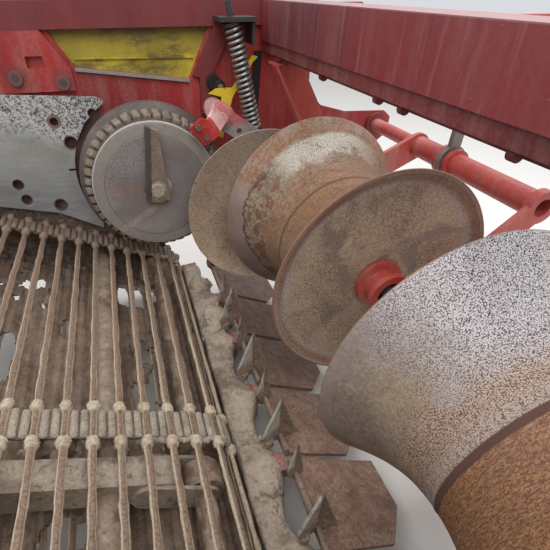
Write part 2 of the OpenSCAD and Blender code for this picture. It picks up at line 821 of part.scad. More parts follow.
// Radius of a roller's shell at the distance u from its waist
shell_steps = 8;
function shell_r(u) = waist_r + (diabolo_r - waist_r) * (1 - cos(90 * pow(u / half_w, 1.15)));
module diabolo(side)
    color(rust)
        translate([0, side * row_y, 0])
            spun(diabolo_c)
                polygon(concat(
                    [[hub_hole_r, -plate_w], [diabolo_r - 40, -plate_w],
                        [diabolo_r - 22, -plate_w - 4], [diabolo_r - 10, -half_w + 3]],
                    [for (i = [-shell_steps:shell_steps])
                        let (u = i / shell_steps * half_w) [shell_r(abs(u)), u]],
                    [[diabolo_r - 10, half_w - 3], [diabolo_r - 22, plate_w + 4],
                        [diabolo_r - 40, plate_w], [hub_hole_r, plate_w],
                        [hub_hole_r, plate_w - shell_t], [diabolo_r - 40, plate_w - shell_t]],
                    [for (i = [shell_steps:-1:-shell_steps])
                        let (u = i / shell_steps * (half_w - 11))
                            [shell_r(abs(i / shell_steps * half_w)) - shell_t - 2, u]],
                    [[diabolo_r - 40, -plate_w + shell_t], [hub_hole_r, -plate_w + shell_t]]));

// Sections of the hubs as [r, distance outside the end plate]: long towards the middle of the
// machine, where a ring stands on a neck, and short at the other end
hub_bore_r = shaft_r + run_gap;
hub_long = [[hub_bore_r, -30], [hub_hole_r - seat, -30], [hub_hole_r - seat, seat], [56, seat],
    [56, 12], [40, 14], [40, 48], [50, 48], [50, 62], [33, 62], [33, 20], [hub_bore_r, 20]];
hub_short = [[hub_bore_r, -30], [hub_hole_r - seat, -30], [hub_hole_r - seat, seat], [56, seat],
    [56, 12], [36, 14], [36, 20], [hub_bore_r, 20]];
module diabolo_hubs(side)
    color(red)
        on_side(side)
            for (end = [[-1, hub_long], [1, hub_short]])
                translate([diabolo_c[0], row_y + end[0] * plate_w, diabolo_c[1]])
                    rotate([-90 * end[0], 0, 0])
                        rotate_extrude($fn = smooth)
                            polygon(end[1]);

module diabolo_shaft(side)
    color(grey)
        on_side(side)
            bar(diabolo_c, shaft_r, crank_y - 8, outer_arm_y + carrier_arm_t + 16);

// Tube on which a roller swings, with collars beside its hanger, an open eye at the middle of the
// machine, a cranked arm there and a straight arm at the side
module carrier(side)
    color(red)
        on_side(side)
            difference() {
                union() {
                    bar(carrier_pivot, carrier_tube_r, eye_y, outer_arm_y + carrier_arm_t, smooth);
                    bar(carrier_pivot, 37, eye_y, eye_y + 22, smooth);
                    for (y = [hanger_y - 20, hanger_y + hanger_t + 6])
                        bar(carrier_pivot, 37, y, y + 14, smooth);
                    bar(carrier_pivot, stub_r, outer_arm_y, wall_y + wall_t, smooth);
                    plate_xz(outer_arm_y, carrier_arm_t) strip(carrier_pivot, diabolo_c, 70);
                    plate_xz(eye_y, carrier_arm_t) strip(carrier_pivot, crank, 56);
                    plate_xz(crank_y, carrier_arm_t) strip(crank, diabolo_c, 66);
                    bar(crank, 22, crank_y, eye_y + carrier_arm_t);
                }
                bar(diabolo_c, shaft_r + seat, crank_y - 20, outer_arm_y + 40, smooth);
                bar(carrier_pivot, carrier_tube_r - carrier_wall, eye_y - 10,
                    outer_arm_y - 10, smooth);
            }

side_frame(1);  // side_frame_left
side_frame(-1);  // side_frame_right
side_panel(1);  // side_panel_left
side_panel(-1);  // side_panel_right
cheek_plate(1);  // cheek_plate_left
cheek_plate(-1);  // cheek_plate_right
wall_flap(1);  // wall_flap_left
wall_flap(-1);  // wall_flap_right
bump_stop(1);  // bump_stop_left
bump_stop(-1);  // bump_stop_right
web_bearings();
front_beam();
beam_rail();
lift_lugs();
carrier_rail();
tube_hangers();
cross_tubes();
web();
web_drive_shaft();
nose_rollers();
support_beam();
support_rollers();
share_beam();
share_carriers();
share_blades();
share_guards();
front_strut(1);  // front_strut_left
front_strut(-1);  // front_strut_right
haulm_bracket(1);  // haulm_bracket_left
haulm_bracket(-1);  // haulm_bracket_right
haulm_tyre(1);  // haulm_tyre_left
haulm_tyre(-1);  // haulm_tyre_right
haulm_face(1);  // haulm_face_left
haulm_face(-1);  // haulm_face_right
coulter_arm(1);  // coulter_arm_left
coulter_arm(-1);  // coulter_arm_right
coulter_clamp(1);  // coulter_clamp_left
coulter_clamp(-1);  // coulter_clamp_right
arm_guard(1);  // arm_guard_left
arm_guard(-1);  // arm_guard_right
coulter_spring(1);  // coulter_spring_left
coulter_spring(-1);  // coulter_spring_right
spring_rod(1);  // spring_rod_left
spring_rod(-1);  // spring_rod_right
disc(1);  // disc_left
disc(-1);  // disc_right
carrier(1);  // carrier_left
carrier(-1);  // carrier_right
diabolo_shaft(1);  // diabolo_shaft_left
diabolo_shaft(-1);  // diabolo_shaft_right
diabolo(1);  // diabolo_left
diabolo(-1);  // diabolo_right
diabolo_hubs(1);  // diabolo_hubs_left
diabolo_hubs(-1);  // diabolo_hubs_right
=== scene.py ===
import math

import bmesh
import bpy
from mathutils import Matrix, Vector, noise


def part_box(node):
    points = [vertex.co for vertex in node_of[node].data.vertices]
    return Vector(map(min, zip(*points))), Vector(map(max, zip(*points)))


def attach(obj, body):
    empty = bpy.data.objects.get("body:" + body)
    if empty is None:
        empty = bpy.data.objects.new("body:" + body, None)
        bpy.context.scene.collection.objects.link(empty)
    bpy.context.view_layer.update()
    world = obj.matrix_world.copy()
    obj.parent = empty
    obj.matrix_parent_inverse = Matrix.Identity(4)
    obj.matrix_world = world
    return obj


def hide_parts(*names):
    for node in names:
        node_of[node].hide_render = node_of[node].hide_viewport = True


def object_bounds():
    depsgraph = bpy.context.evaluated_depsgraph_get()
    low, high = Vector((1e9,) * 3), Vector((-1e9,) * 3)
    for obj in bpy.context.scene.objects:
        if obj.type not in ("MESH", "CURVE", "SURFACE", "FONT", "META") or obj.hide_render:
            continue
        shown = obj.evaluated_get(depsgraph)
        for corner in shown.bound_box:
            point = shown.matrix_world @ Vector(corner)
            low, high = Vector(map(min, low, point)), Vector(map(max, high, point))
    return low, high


bl_info = {
    "name": "Potato Digger Lifting Unit",
    "version": (1, 0, 0),
    "blender": (4, 5, 0),
    "location": "View3D > Sidebar > Digger",
    "description": "Dresses the lifting unit of a two-row potato digger over its solids",
    "category": "Object",
}

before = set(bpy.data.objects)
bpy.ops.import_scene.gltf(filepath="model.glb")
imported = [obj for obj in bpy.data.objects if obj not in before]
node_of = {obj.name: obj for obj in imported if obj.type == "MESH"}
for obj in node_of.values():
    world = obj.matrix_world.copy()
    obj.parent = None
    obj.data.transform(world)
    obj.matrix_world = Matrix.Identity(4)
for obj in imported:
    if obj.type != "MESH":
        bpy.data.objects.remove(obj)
cad_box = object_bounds()
SIDES = (("left", 1), ("right", -1))
ORIGIN = (0.0, 0.0, 0.0)

# Places on the solids that finishes and pieces follow, in metres

# Walls: what stands proud of their inner face, the face, and edges of the rail, post and lip
PROUD, WALL, WALL_BEND = 0.8245, 0.83, 0.856
RAIL_FOOT, LIP_FOOT, LIP_BACK, POST_BACK = 0.4045, 0.2, 0.811, 1.126
WALL_BOLTS = ((0.665, 0.305), (0.778, 0.29))
# Painted shade on a wall behind its cheek plate, from this x and up to this z
HIDDEN_BACK, HIDDEN_TOP = 0.2, 0.245
# The web's line on a wall: its fall, how far below 0 it is at one x, and the soil above it
WEB_FALL, WEB_X, WEB_DROP, WALL_SOIL = math.tan(math.radians(20.8)), 0.76, 0.15, 0.085
# Heights of the beam's top and of a panel's fold and upper edge, and the y of the beam's seam
BEAM_TOP, PANEL_FOLD, PANEL_TOP, BEAM_SEAM = 0.4615, 0.342, 0.378, 0.045
# Holes of the cheek plates that soil fills, as (x, z, radius)
PLATE_HOLES = ((0.58, 0.035, 0.0165), (0.728, 0.198, 0.0185), (0.758, 0.14, 0.02),
               (0.589, -0.012, 0.0165), (0.68, -0.039, 0.0205), (0.834, 0.214, 0.013))
# Head of a coulter arm as (x, z), its radius, inner and outer y; faces of the clamp and its bolts
ARM_HEAD, HEAD_RADIUS, HEAD_IN, HEAD_OUT = (1.186, 0.205), 0.037, 0.6895, 0.7065
CLAMP_FACE, CLAMP_BOLTS = 0.6508, 0.6392
# The shoulder of a coulter arm, where its red paint ends
ARM_SHOULDER = 0.186
# The share leaves: how far their backs lie behind their fronts, and how high soil covers them
LEAF_DEPTH, LEAF_SOIL = 0.0415, 0.052
# Bars that carry the shares: half width, front, and how wide the soil flares beside them
BAR_HALF, BAR_FRONT, BAR_FLARE = 0.022, 1.124, 0.052
# Large clods on the share beam as (y, x offset, z offset, size)
CLODS = ((0.455, 0.026, 0.04, 0.046), (0.415, 0.01, 0.036, 0.038), (0.205, -0.006, 0.028, 0.026),
         (-0.12, 0.018, 0.034, 0.026), (-0.355, 0.004, 0.032, 0.03), (-0.56, 0.008, 0.034, 0.04),
         (0.66, 0.012, 0.034, 0.04), (-0.69, 0.008, 0.034, 0.038))
# Face of a haulm roller: radii of its bevel, rim and hub, and depth of its channel
BEVEL, RIM, HUB, CHANNEL_DEEP = 0.147, 0.1775, 0.04, 0.024
# Radii on the end of a waisted roller: where the greyer ring and the rolled edge begin
RING, EDGE = 0.226, 0.2575
# The web's rods and belts: knobs stand beside the belts, and paired lugs lie between the rods
ROD_PITCH, ROD_COUNT, ROD_RADIUS, FIRST_ROD = 0.05, 42, 0.0055, 0.225
BELT_HALF, BELT_THICK, KNOB_OUT, KNOB_HALF, LUMP_HALF = 0.03, 0.007, 0.0115, 0.014, 0.016
LUG_LONG, LUG_WIDE, LUG_TALL, LUG_APART, LUG_RISE = 0.066, 0.0148, 0.0092, 0.0088, 0.0035
# Openings in the soil on the lower run as (y, distance from the nose, half sizes)
SOIL_GAPS = ((0.7, 0.075, 0.09, 0.085), (0.33, 0.425, 0.09, 0.03), (0.455, 0.285, 0.045, 0.014),
             (-0.14, 0.26, 0.03, 0.04), (-0.45, 0.55, 0.1, 0.05), (-0.62, 0.2, 0.08, 0.06))

# Colours that several finishes share

RUST_DARK = (0.105, 0.052, 0.032)
RUST_MID = (0.215, 0.112, 0.068)
SOIL_DARK = (0.13, 0.09, 0.062)
SOIL = (0.29, 0.215, 0.155)
SOIL_PALE = (0.46, 0.38, 0.295)
DUST = (0.46, 0.31, 0.27)


# Shader expressions


class Flow:
    """A value in a node tree. Python's operators on it add Math nodes."""

    def __init__(self, tree, socket):
        self.tree = tree
        self.socket = socket

    def math(self, operation, *values):
        """A Math node over the values, which are flows or numbers."""
        return self.tree.node("ShaderNodeMath", {"operation": operation}, dict(enumerate(values)))

    def __add__(self, other):
        return self.math("ADD", self, other)

    def __sub__(self, other):
        return self.math("SUBTRACT", self, other)

    def __rsub__(self, other):
        return self.math("SUBTRACT", other, self)

    def __mul__(self, other):
        return self.math("MULTIPLY", self, other)

    def __radd__(self, other):
        return self.math("ADD", other, self)

    def __pow__(self, other):
        return self.math("POWER", self, other)

    def above(self, edge, soft=0.02):
        """1 where the value is over the edge, with a soft step."""
        return self.tree.node("ShaderNodeMapRange", {"interpolation_type": "SMOOTHSTEP"},
                              {"Value": self, "From Min": edge - soft, "From Max": edge + soft},
                              "Result")

    def below(self, edge, soft=0.02):
        """1 where the value is under the edge, with a soft step."""
        return 1.0 - self.above(edge, soft)

    def size(self):
        """The value without its sign."""
        return self.math("ABSOLUTE", self)

    def clamp(self):
        """The value kept between 0 and 1."""
        return self.tree.node("ShaderNodeClamp", {}, {"Value": self}, "Result")


class Finish:
    """Builds one material's node tree."""

    def __init__(self, name):
        self.material = bpy.data.materials.new(name)
        self.material.use_nodes = True
        self.nodes = self.material.node_tree.nodes
        self.links = self.material.node_tree.links
        self.shader = self.nodes["Principled BSDF"]
        self.place = self.node("ShaderNodeTexCoord", {}, {}, "Object")

    def node(self, kind, settings, inputs, output=0):
        """Adds a node, sets it up and returns one of its outputs."""
        made = self.nodes.new(kind)
        for key, value in settings.items():
            setattr(made, key, value)
        for key, value in inputs.items():
            self.feed(made.inputs[key], value)
        return Flow(self, made.outputs[output])

    def feed(self, socket, value):
        """Links a flow to a socket, or sets the socket's own value."""
        if isinstance(value, Flow):
            self.links.new(value.socket, socket)
        else:
            socket.default_value = (*value, 1.0) if socket.type == "RGBA" else value

    def axes(self):
        """The three coordinates as values."""
        split = self.nodes.new("ShaderNodeSeparateXYZ")
        self.feed(split.inputs[0], self.place)
        return [Flow(self, socket) for socket in split.outputs]

    def vector(self, *values):
        """A vector from one or more values."""
        return self.node("ShaderNodeCombineXYZ", {}, dict(enumerate(values)), "Vector")

    def stretched(self, scale, turn=ORIGIN):
        """Object coordinates turned and scaled by axis."""
        return self.node("ShaderNodeMapping", {},
                         {"Vector": self.place, "Rotation": turn, "Scale": scale}, "Vector")

    def noise(self, scale, detail=4.0, rough=0.55, warp=0.0, at=None):
        """Noise over the object, from 0 to 1, with features of about 1/scale metres."""
        return self.node("ShaderNodeTexNoise", {},
                         {"Vector": at or self.place, "Scale": scale, "Detail": detail,
                          "Roughness": rough, "Distortion": warp})

    def blend(self, mask, first, second):
        """The first colour where the mask is 0 and the second where it is 1."""
        return self.node("ShaderNodeMix", {"data_type": "RGBA"}, {0: mask, 6: first, 7: second}, 2)

    def layers(self, base, *coats):
        """A base colour under coats of colour, each given as (mask, colour)."""
        for mask, colour in coats:
            base = self.blend(mask, base, colour)
        return base

    def ramp(self, value, *stops):
        """A colour ramp over a value; each stop is (position, red, green, blue)."""
        flow = self.node("ShaderNodeValToRGB", {}, {"Fac": value}, "Color")
        elements = flow.socket.node.color_ramp.elements
        while len(elements) < len(stops):
            elements.new(0.5)
        for element, (at, *colour) in zip(elements, stops):
            element.position = at
            element.color = (*colour, 1.0)
        return flow

    def done(self, colour, rough, metal=0.0, bump=None, height=0.001, strength=0.5):
        """Feeds the shader and returns the material."""
        self.feed(self.shader.inputs["Base Color"], colour)
        self.feed(self.shader.inputs["Roughness"], rough)
        self.feed(self.shader.inputs["Metallic"], metal)
        if bump is not None:
            self.feed(self.shader.inputs["Normal"], self.node(
                "ShaderNodeBump", {}, {"Strength": strength, "Distance": height, "Height": bump},
                "Normal"))
        return self.material


def reach_from(across, over):
    """Distance from the point where both values are 0."""
    return (across * across + over * over) ** 0.5


def oval(across, flat, over, tall):
    """Squared distance from the point where both values are 0, each with its own weight."""
    return across * across * flat + over * over * tall


# Finishes that several pieces share


def soil_mask(f, amount, scale=9.0):
    """Patches of dried soil: more of them for a larger amount."""
    patches = f.noise(scale, 6, 0.62, 0.4)
    grains = f.noise(scale * 14, 4, 0.7)
    return (patches + grains * 0.22).above(0.8 - amount * 0.4, 0.05)


def soil_colour(f):
    """Dried soil, pale where it is thin."""
    return f.ramp(f.noise(30, 6, 0.7), (0.25, *SOIL_DARK), (0.48, *SOIL), (0.72, *SOIL_PALE))


def paint_layers(f, colour, dark, dust, rust):
    """Worn paint as colour, roughness and height: uneven fading, streaks of dust, chips and
    freckles of rust."""
    tone = f.noise(3, 5, 0.6, 0.3)
    streaks = f.noise(22, 6, 0.66, at=f.stretched((1.0, 1.0, 0.14)))
    grit = f.noise(150, 4, 0.7)
    film = ((streaks * 0.65 + grit * 0.35 - 0.46) * dust * 7.0).clamp()
    chips = (f.noise(34, 6, 0.75) * 0.8 + tone * 0.25).above(0.74 - rust * 0.22, 0.02)
    skin = f.layers(dark, (((tone - 0.38) * 3.5).clamp(), colour), (film * 0.75, DUST),
                    (chips * 0.85, f.blend(grit, RUST_DARK, RUST_MID)))
    rough = 0.4 + film * 0.3 + chips * 0.25 + streaks * 0.1
    return skin, rough, grit * 0.2 - chips * 0.7 + film * 0.3


def painted(name, colour, dark, dust=0.3, rust=0.2, soil=0.0):
    """Worn paint with dust, chips and, for some pieces, patches of dried soil."""
    f = Finish(name)
    skin, rough, bump = paint_layers(f, colour, dark, dust, rust)
    if soil:
        dirt = soil_mask(f, soil, 12.0)
        skin = f.blend(dirt * 0.85, skin, soil_colour(f))
        rough = rough + dirt * 0.35
        bump = bump + dirt * (0.6 + f.noise(70) * 0.9)
    return f.done(skin, rough.clamp(), 0.0, bump)


def plain_metal(name, colour, rough=0.45, soil=0.25):
    """Dull bare metal with smears of soil."""
    f = Finish(name)
    cloud = f.noise(30, 5, 0.6)
    base = f.blend(cloud, tuple(c * 0.6 for c in colour), colour)
    dirt = soil_mask(f, soil, 14.0)
    return f.done(f.blend(dirt * 0.8, base, soil_colour(f)),
                  (rough + cloud * 0.2 + dirt * 0.3).clamp(), (0.7 - dirt * 0.6).clamp(),
                  cloud * 0.3 + dirt * 0.6, 0.0008)


def muddy(name, rust=0.35):
    """Steel or rubber almost covered in dried soil."""
    f = Finish(name)
    lumps = f.noise(26, 7, 0.68, 0.3)
    crumbs = f.noise(150, 5, 0.75)
    soil = f.ramp(lumps * 0.65 + crumbs * 0.35, (0.32, *SOIL_DARK), (0.48, *SOIL),
                  (0.66, *SOIL_PALE))
    bare = (f.noise(17, 5, 0.6) + crumbs * 0.2).above(0.72 - rust * 0.35, 0.05)
    return f.done(f.blend(bare * 0.8, soil, f.blend(crumbs, RUST_DARK, RUST_MID)),
                  0.95 - bare * 0.3, 0.0, lumps * 0.8 + crumbs * 0.5 - bare * 0.4, 0.0025, 0.8)


def clay(name):
    """Pale dried clay with fine cracks, darker where it is damp."""
    f = Finish(name)
    wide = f.noise(9, 6, 0.65, 0.4)
    crumbs = f.noise(130, 6, 0.75)
    pits = f.noise(75, 6, 0.75, 0.8)
    base = f.ramp(wide * 0.45 + crumbs * 0.55, (0.3, 0.17, 0.125, 0.09), (0.46, 0.31, 0.245, 0.185),
                  (0.6, 0.42, 0.345, 0.27), (0.76, 0.52, 0.44, 0.355))
    skin = f.layers(base, (wide.below(0.45, 0.06) * 0.6, (0.135, 0.095, 0.068)),
                    (pits.below(0.41, 0.03) * 0.65, (0.1, 0.072, 0.052)),
                    (pits.above(0.6, 0.04) * 0.35, (0.56, 0.48, 0.385)))
    return f.done(skin, 0.95, 0.0, crumbs * 0.7 + wide * 0.4 + pits * 0.6, 0.0028, 0.85)


# Finishes of single pieces


def wall_paint(name):
    """The side frames: maroon rail and post, bright wall, grey lip, painted shade behind the cheek
    plate, and soil below the web.
    """
    f = Finish(name)
    x, y, z = f.axes()
    out = y.size()
    skin, rough, bump = paint_layers(f, (0.42, 0.032, 0.028), (0.25, 0.022, 0.022), 0.3, 0.2)
    proud = out.below(PROUD, 0.001)
    rail = z.above(RAIL_FOOT, 0.001)
    lip = proud * x.above(LIP_BACK, 0.002) * x.below(POST_BACK, 0.002) * z.above(LIP_FOOT, 0.01)
    skin = f.layers(
        skin,
        ((rail + proud * x.above(POST_BACK, 0.002)).clamp() * 0.85,
         f.blend(f.noise(9, 6, 0.65), (0.085, 0.018, 0.022), (0.21, 0.035, 0.038))),
        (lip * (1.0 - rail), f.blend(f.noise(60, 5, 0.7), (0.16, 0.14, 0.13), (0.4, 0.37, 0.34))))
    for x_at, z_at in WALL_BOLTS:
        reach = reach_from(x - x_at, z - z_at)
        skin = f.layers(skin, (reach.below(0.03, 0.004) * 0.45, (0.17, 0.05, 0.045)),
                        (reach.below(0.0172, 0.0012) * 0.8, (0.155, 0.085, 0.07)),
                        (reach.below(0.0105, 0.0015), (0.08, 0.062, 0.056)))
    crumbs = f.noise(95, 5, 0.7)
    lumps = f.noise(48, 6, 0.7, 0.5)
    # Painted shade on the wall where it lies behind the cheek plate
    plate_shade = (out.below(WALL, 0.001) * x.above(HIDDEN_BACK, 0.006) * x.below(WALL_BEND, 0.004)
              * z.below(HIDDEN_TOP, 0.003))
    height = z + (x - WEB_X) * WEB_FALL + WEB_DROP + (f.noise(14, 5, 0.65) - 0.5) * 0.05
    low = (height + out.above(WALL, 0.001) * 0.16).below(WALL_SOIL, 0.03)
    mud = f.ramp(crumbs * 0.45 + lumps * 0.55, (0.36, 0.042, 0.03, 0.023),
                 (0.5, 0.125, 0.092, 0.068), (0.64, 0.27, 0.205, 0.152))
    shade = f.blend(crumbs, (0.05, 0.026, 0.022), (0.16, 0.09, 0.072))
    skin = f.layers(skin, (plate_shade * 0.94, shade), (low * 0.96, mud))
    return f.done(skin, (rough + low * 0.4).clamp(), 0.0, bump + low * (crumbs + lumps * 2.0),
                  0.002, 0.6)


def beam_paint(name):
    """The front beam: purple-brown at its left end and redder towards its right."""
    f = Finish(name)
    _, y, z = f.axes()
    skin, rough, bump = paint_layers(f, (0.235, 0.03, 0.036), (0.125, 0.024, 0.034), 0.16, 0.0)
    streaks = f.noise(42, 6, 0.7, at=f.stretched((1.0, 1.0, 0.07)))
    specks = f.noise(115, 3, 0.6).above(0.7, 0.02) * y.below(-0.06, 0.08)
    skin = f.layers(skin, (((0.22 - y) * 1.6 + streaks * 0.3).clamp() * 0.6, (0.34, 0.045, 0.04)),
                    (streaks.above(0.6, 0.07) * 0.35, (0.33, 0.16, 0.16)),
                    (z.above(BEAM_TOP, 0.001) * 0.6, (0.4, 0.24, 0.23)),
                    ((y - BEAM_SEAM).size().below(0.0012, 0.0005) * 0.7, (0.09, 0.03, 0.035)),
                    (specks * 0.6, (0.5, 0.36, 0.34)))
    return f.done(skin, rough.clamp(), 0.0, bump, 0.0008, 0.4)


def panel_yellow(name):
    """The yellow panels: olive above the fold, brighter below, with dark smudges."""
    f = Finish(name)
    z = f.axes()[2]
    cloud = f.noise(11, 6, 0.62, 0.4)
    smear = f.noise(15, 6, 0.68, at=f.stretched((0.6, 1.0, 1.6), (0.0, 0.12, 0.0)))
    grit = f.noise(120, 5, 0.7)
    skin = f.layers(
        f.ramp(cloud, (0.3, 0.24, 0.19, 0.016), (0.5, 0.42, 0.335, 0.022), (0.7, 0.6, 0.49, 0.035)),
        (z.above(PANEL_FOLD, 0.003) * 0.55, (0.27, 0.205, 0.022)),
        ((z + (smear - 0.5) * 0.06).above(PANEL_TOP, 0.016) * 0.62, (0.11, 0.08, 0.018)),
        (smear.above(0.545, 0.06) * 0.8, (0.12, 0.085, 0.028)),
        (grit.above(0.6, 0.04) * 0.4, (0.36, 0.28, 0.16)))
    return f.done(skin, 0.55 + smear * 0.2, 0.0, smear * 0.4 + grit * 0.4, 0.0012, 0.6)


def bare_plate(name):
    """Bare zinc-grey plate, worn smooth, with a spatter of black and white at its upper front,
    and brown soil in its holes."""
    f = Finish(name)
    x, _, z = f.axes()
    cloud = f.noise(4.5, 5, 0.6, 0.4)
    wipes = f.noise(10, 5, 0.6, at=f.stretched((1.0, 1.0, 9.0), (0.0, 0.4, 0.0)))
    worms = f.noise(235, 3, 0.6, 1)
    clumps = f.noise(70, 4, 0.6)
    wide = f.noise(17, 5, 0.65)
    edge = z + (((x - 0.6) * 0.42).clamp() + 0.012 + (wide - 0.5) * 0.13) - 0.212
    grain = worms * 0.72 + clumps * 0.28 - (edge * 2.2).clamp() * 0.12
    spatter = f.blend(grain.above(0.466, 0.025), (0.06, 0.05, 0.046), (0.55, 0.55, 0.52))
    shows = edge.above(0.0, 0.03)
    loose = worms.below(0.375, 0.02) * (z * 3.0 + wide * 0.9 + (x - 0.62) * 0.8).above(0.8, 0.2)
    skin = f.layers(
        f.ramp(cloud, (0.3, 0.255, 0.27, 0.283), (0.5, 0.365, 0.38, 0.38),
               (0.7, 0.485, 0.49, 0.47)),
        (wipes.above(0.55, 0.07) * 0.35, (0.5, 0.5, 0.48)), (loose * 0.7, (0.07, 0.06, 0.057)),
        (shows * 0.9, spatter),
        (f.noise(6, 5, 0.6).above(0.6, 0.05) * (1.0 - shows) * 0.3, (0.33, 0.33, 0.21)))
    for x_at, z_at, radius in PLATE_HOLES:
        skin = f.blend(reach_from(x - x_at, z - z_at).below(radius, 0.0012) * 0.85, skin,
                       f.blend(clumps, (0.1, 0.035, 0.028), (0.21, 0.105, 0.085)))
    return f.done(skin, (0.36 + cloud * 0.22 + shows * 0.2).clamp(), 0.45 - shows * 0.35,
                  wipes * 0.15 + shows * worms * 0.9, 0.0009)


def share_rust(name):
    """The share plates: brown rust, darker at the left from painted shade and wet rust, with pale
    clay on the right.
    """
    f = Finish(name)
    # Towards the left the plates darken: painted shade together with wet rust
    far = (f.axes()[1] * 3.6).clamp()
    wide = f.noise(7, 6, 0.65, 0.5)
    fine = f.noise(150, 5, 0.72)
    blots = f.noise(38, 6, 0.7, 0.4)
    rust = f.ramp(blots * 0.5 + fine * 0.5, (0.34, 0.12, 0.06, 0.04), (0.48, 0.215, 0.122, 0.082),
                  (0.6, 0.315, 0.205, 0.145), (0.72, 0.43, 0.325, 0.25))
    dark = f.ramp(blots * 0.6 + fine * 0.4, (0.34, 0.06, 0.034, 0.026), (0.52, 0.115, 0.07, 0.052),
                  (0.7, 0.2, 0.135, 0.105))
    clay_film = (wide + (fine - 0.5) * 0.5).above(0.6, 0.08) * (1.0 - far * 0.8)
    skin = f.layers(rust, (far * 0.85, dark),
                    (clay_film * 0.5, f.blend(fine, (0.27, 0.19, 0.135), (0.46, 0.375, 0.295))))
    bump = fine * 0.5 + blots * 0.5 + clay_film * 0.3
    return f.done(skin, 0.62 + fine * 0.25, 0.0, bump, 0.0012, 0.6)


def leaf_steel(name):
    """The ridges and leaves: rubbed steel behind, painted pale and cream there as a highlight,
    grey-brown in front, soil at the foot.
    """
    f = Finish(name)
    x, _, z = f.axes()
    low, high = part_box("share_guards")
    wide = f.noise(22, 5, 0.65)
    fine = f.noise(120, 5, 0.7)
    # The rear facets: rubbed steel, painted pale with cream as a highlight
    bright = f.layers(
        f.ramp(wide * 0.5 + fine * 0.5, (0.34, 0.24, 0.2, 0.16), (0.48, 0.42, 0.39, 0.34),
               (0.62, 0.62, 0.59, 0.52)),
        (f.noise(5).above(0.52, 0.03) * 0.3, (0.36, 0.38, 0.4)),
        (f.noise(40, 5, 0.7).above(0.56, 0.05) * 0.6, (0.62, 0.55, 0.42)))
    dull = f.ramp(fine, (0.32, 0.1, 0.065, 0.048), (0.56, 0.22, 0.155, 0.115),
                  (0.74, 0.36, 0.27, 0.2))
    behind = x.below(high[0] - LEAF_DEPTH, 0.002)
    foot = (z - low[2] + (wide - 0.5) * 0.05).below(LEAF_SOIL, 0.012)
    skin = f.layers(dull, (behind * wide.above(0.4, 0.06), bright),
                    (foot * 0.9, f.ramp(fine, (0.3, 0.12, 0.075, 0.055), (0.7, 0.33, 0.245, 0.18))))
    return f.done(skin, 0.45 + foot * 0.4 + fine * 0.1, (0.5 - foot * 0.5) * behind, fine * 0.7,
                  0.0012, 0.6)


def disc_tan(name):
    """The disc coulters: an even tan-brown rust film with dark freckles."""
    f = Finish(name)
    z = f.axes()[2]
    cloud = f.noise(5, 5, 0.6)
    fine = f.noise(165, 5, 0.72)
    freckles = f.noise(120, 4, 0.65).above(0.61, 0.03)
    skin = f.layers(
        f.ramp(cloud * 0.45 + fine * 0.55, (0.34, 0.225, 0.15, 0.1), (0.48, 0.41, 0.3, 0.212),
               (0.62, 0.58, 0.46, 0.345)),
        ((z * 4.0 - 0.1 + cloud * 0.4).clamp() * 0.5, (0.33, 0.27, 0.235)),
        (freckles * 0.6, (0.1, 0.065, 0.05)))
    return f.done(skin, 0.58 + fine * 0.2, 0.0, fine * 0.6 - freckles * 0.4, 0.0008)


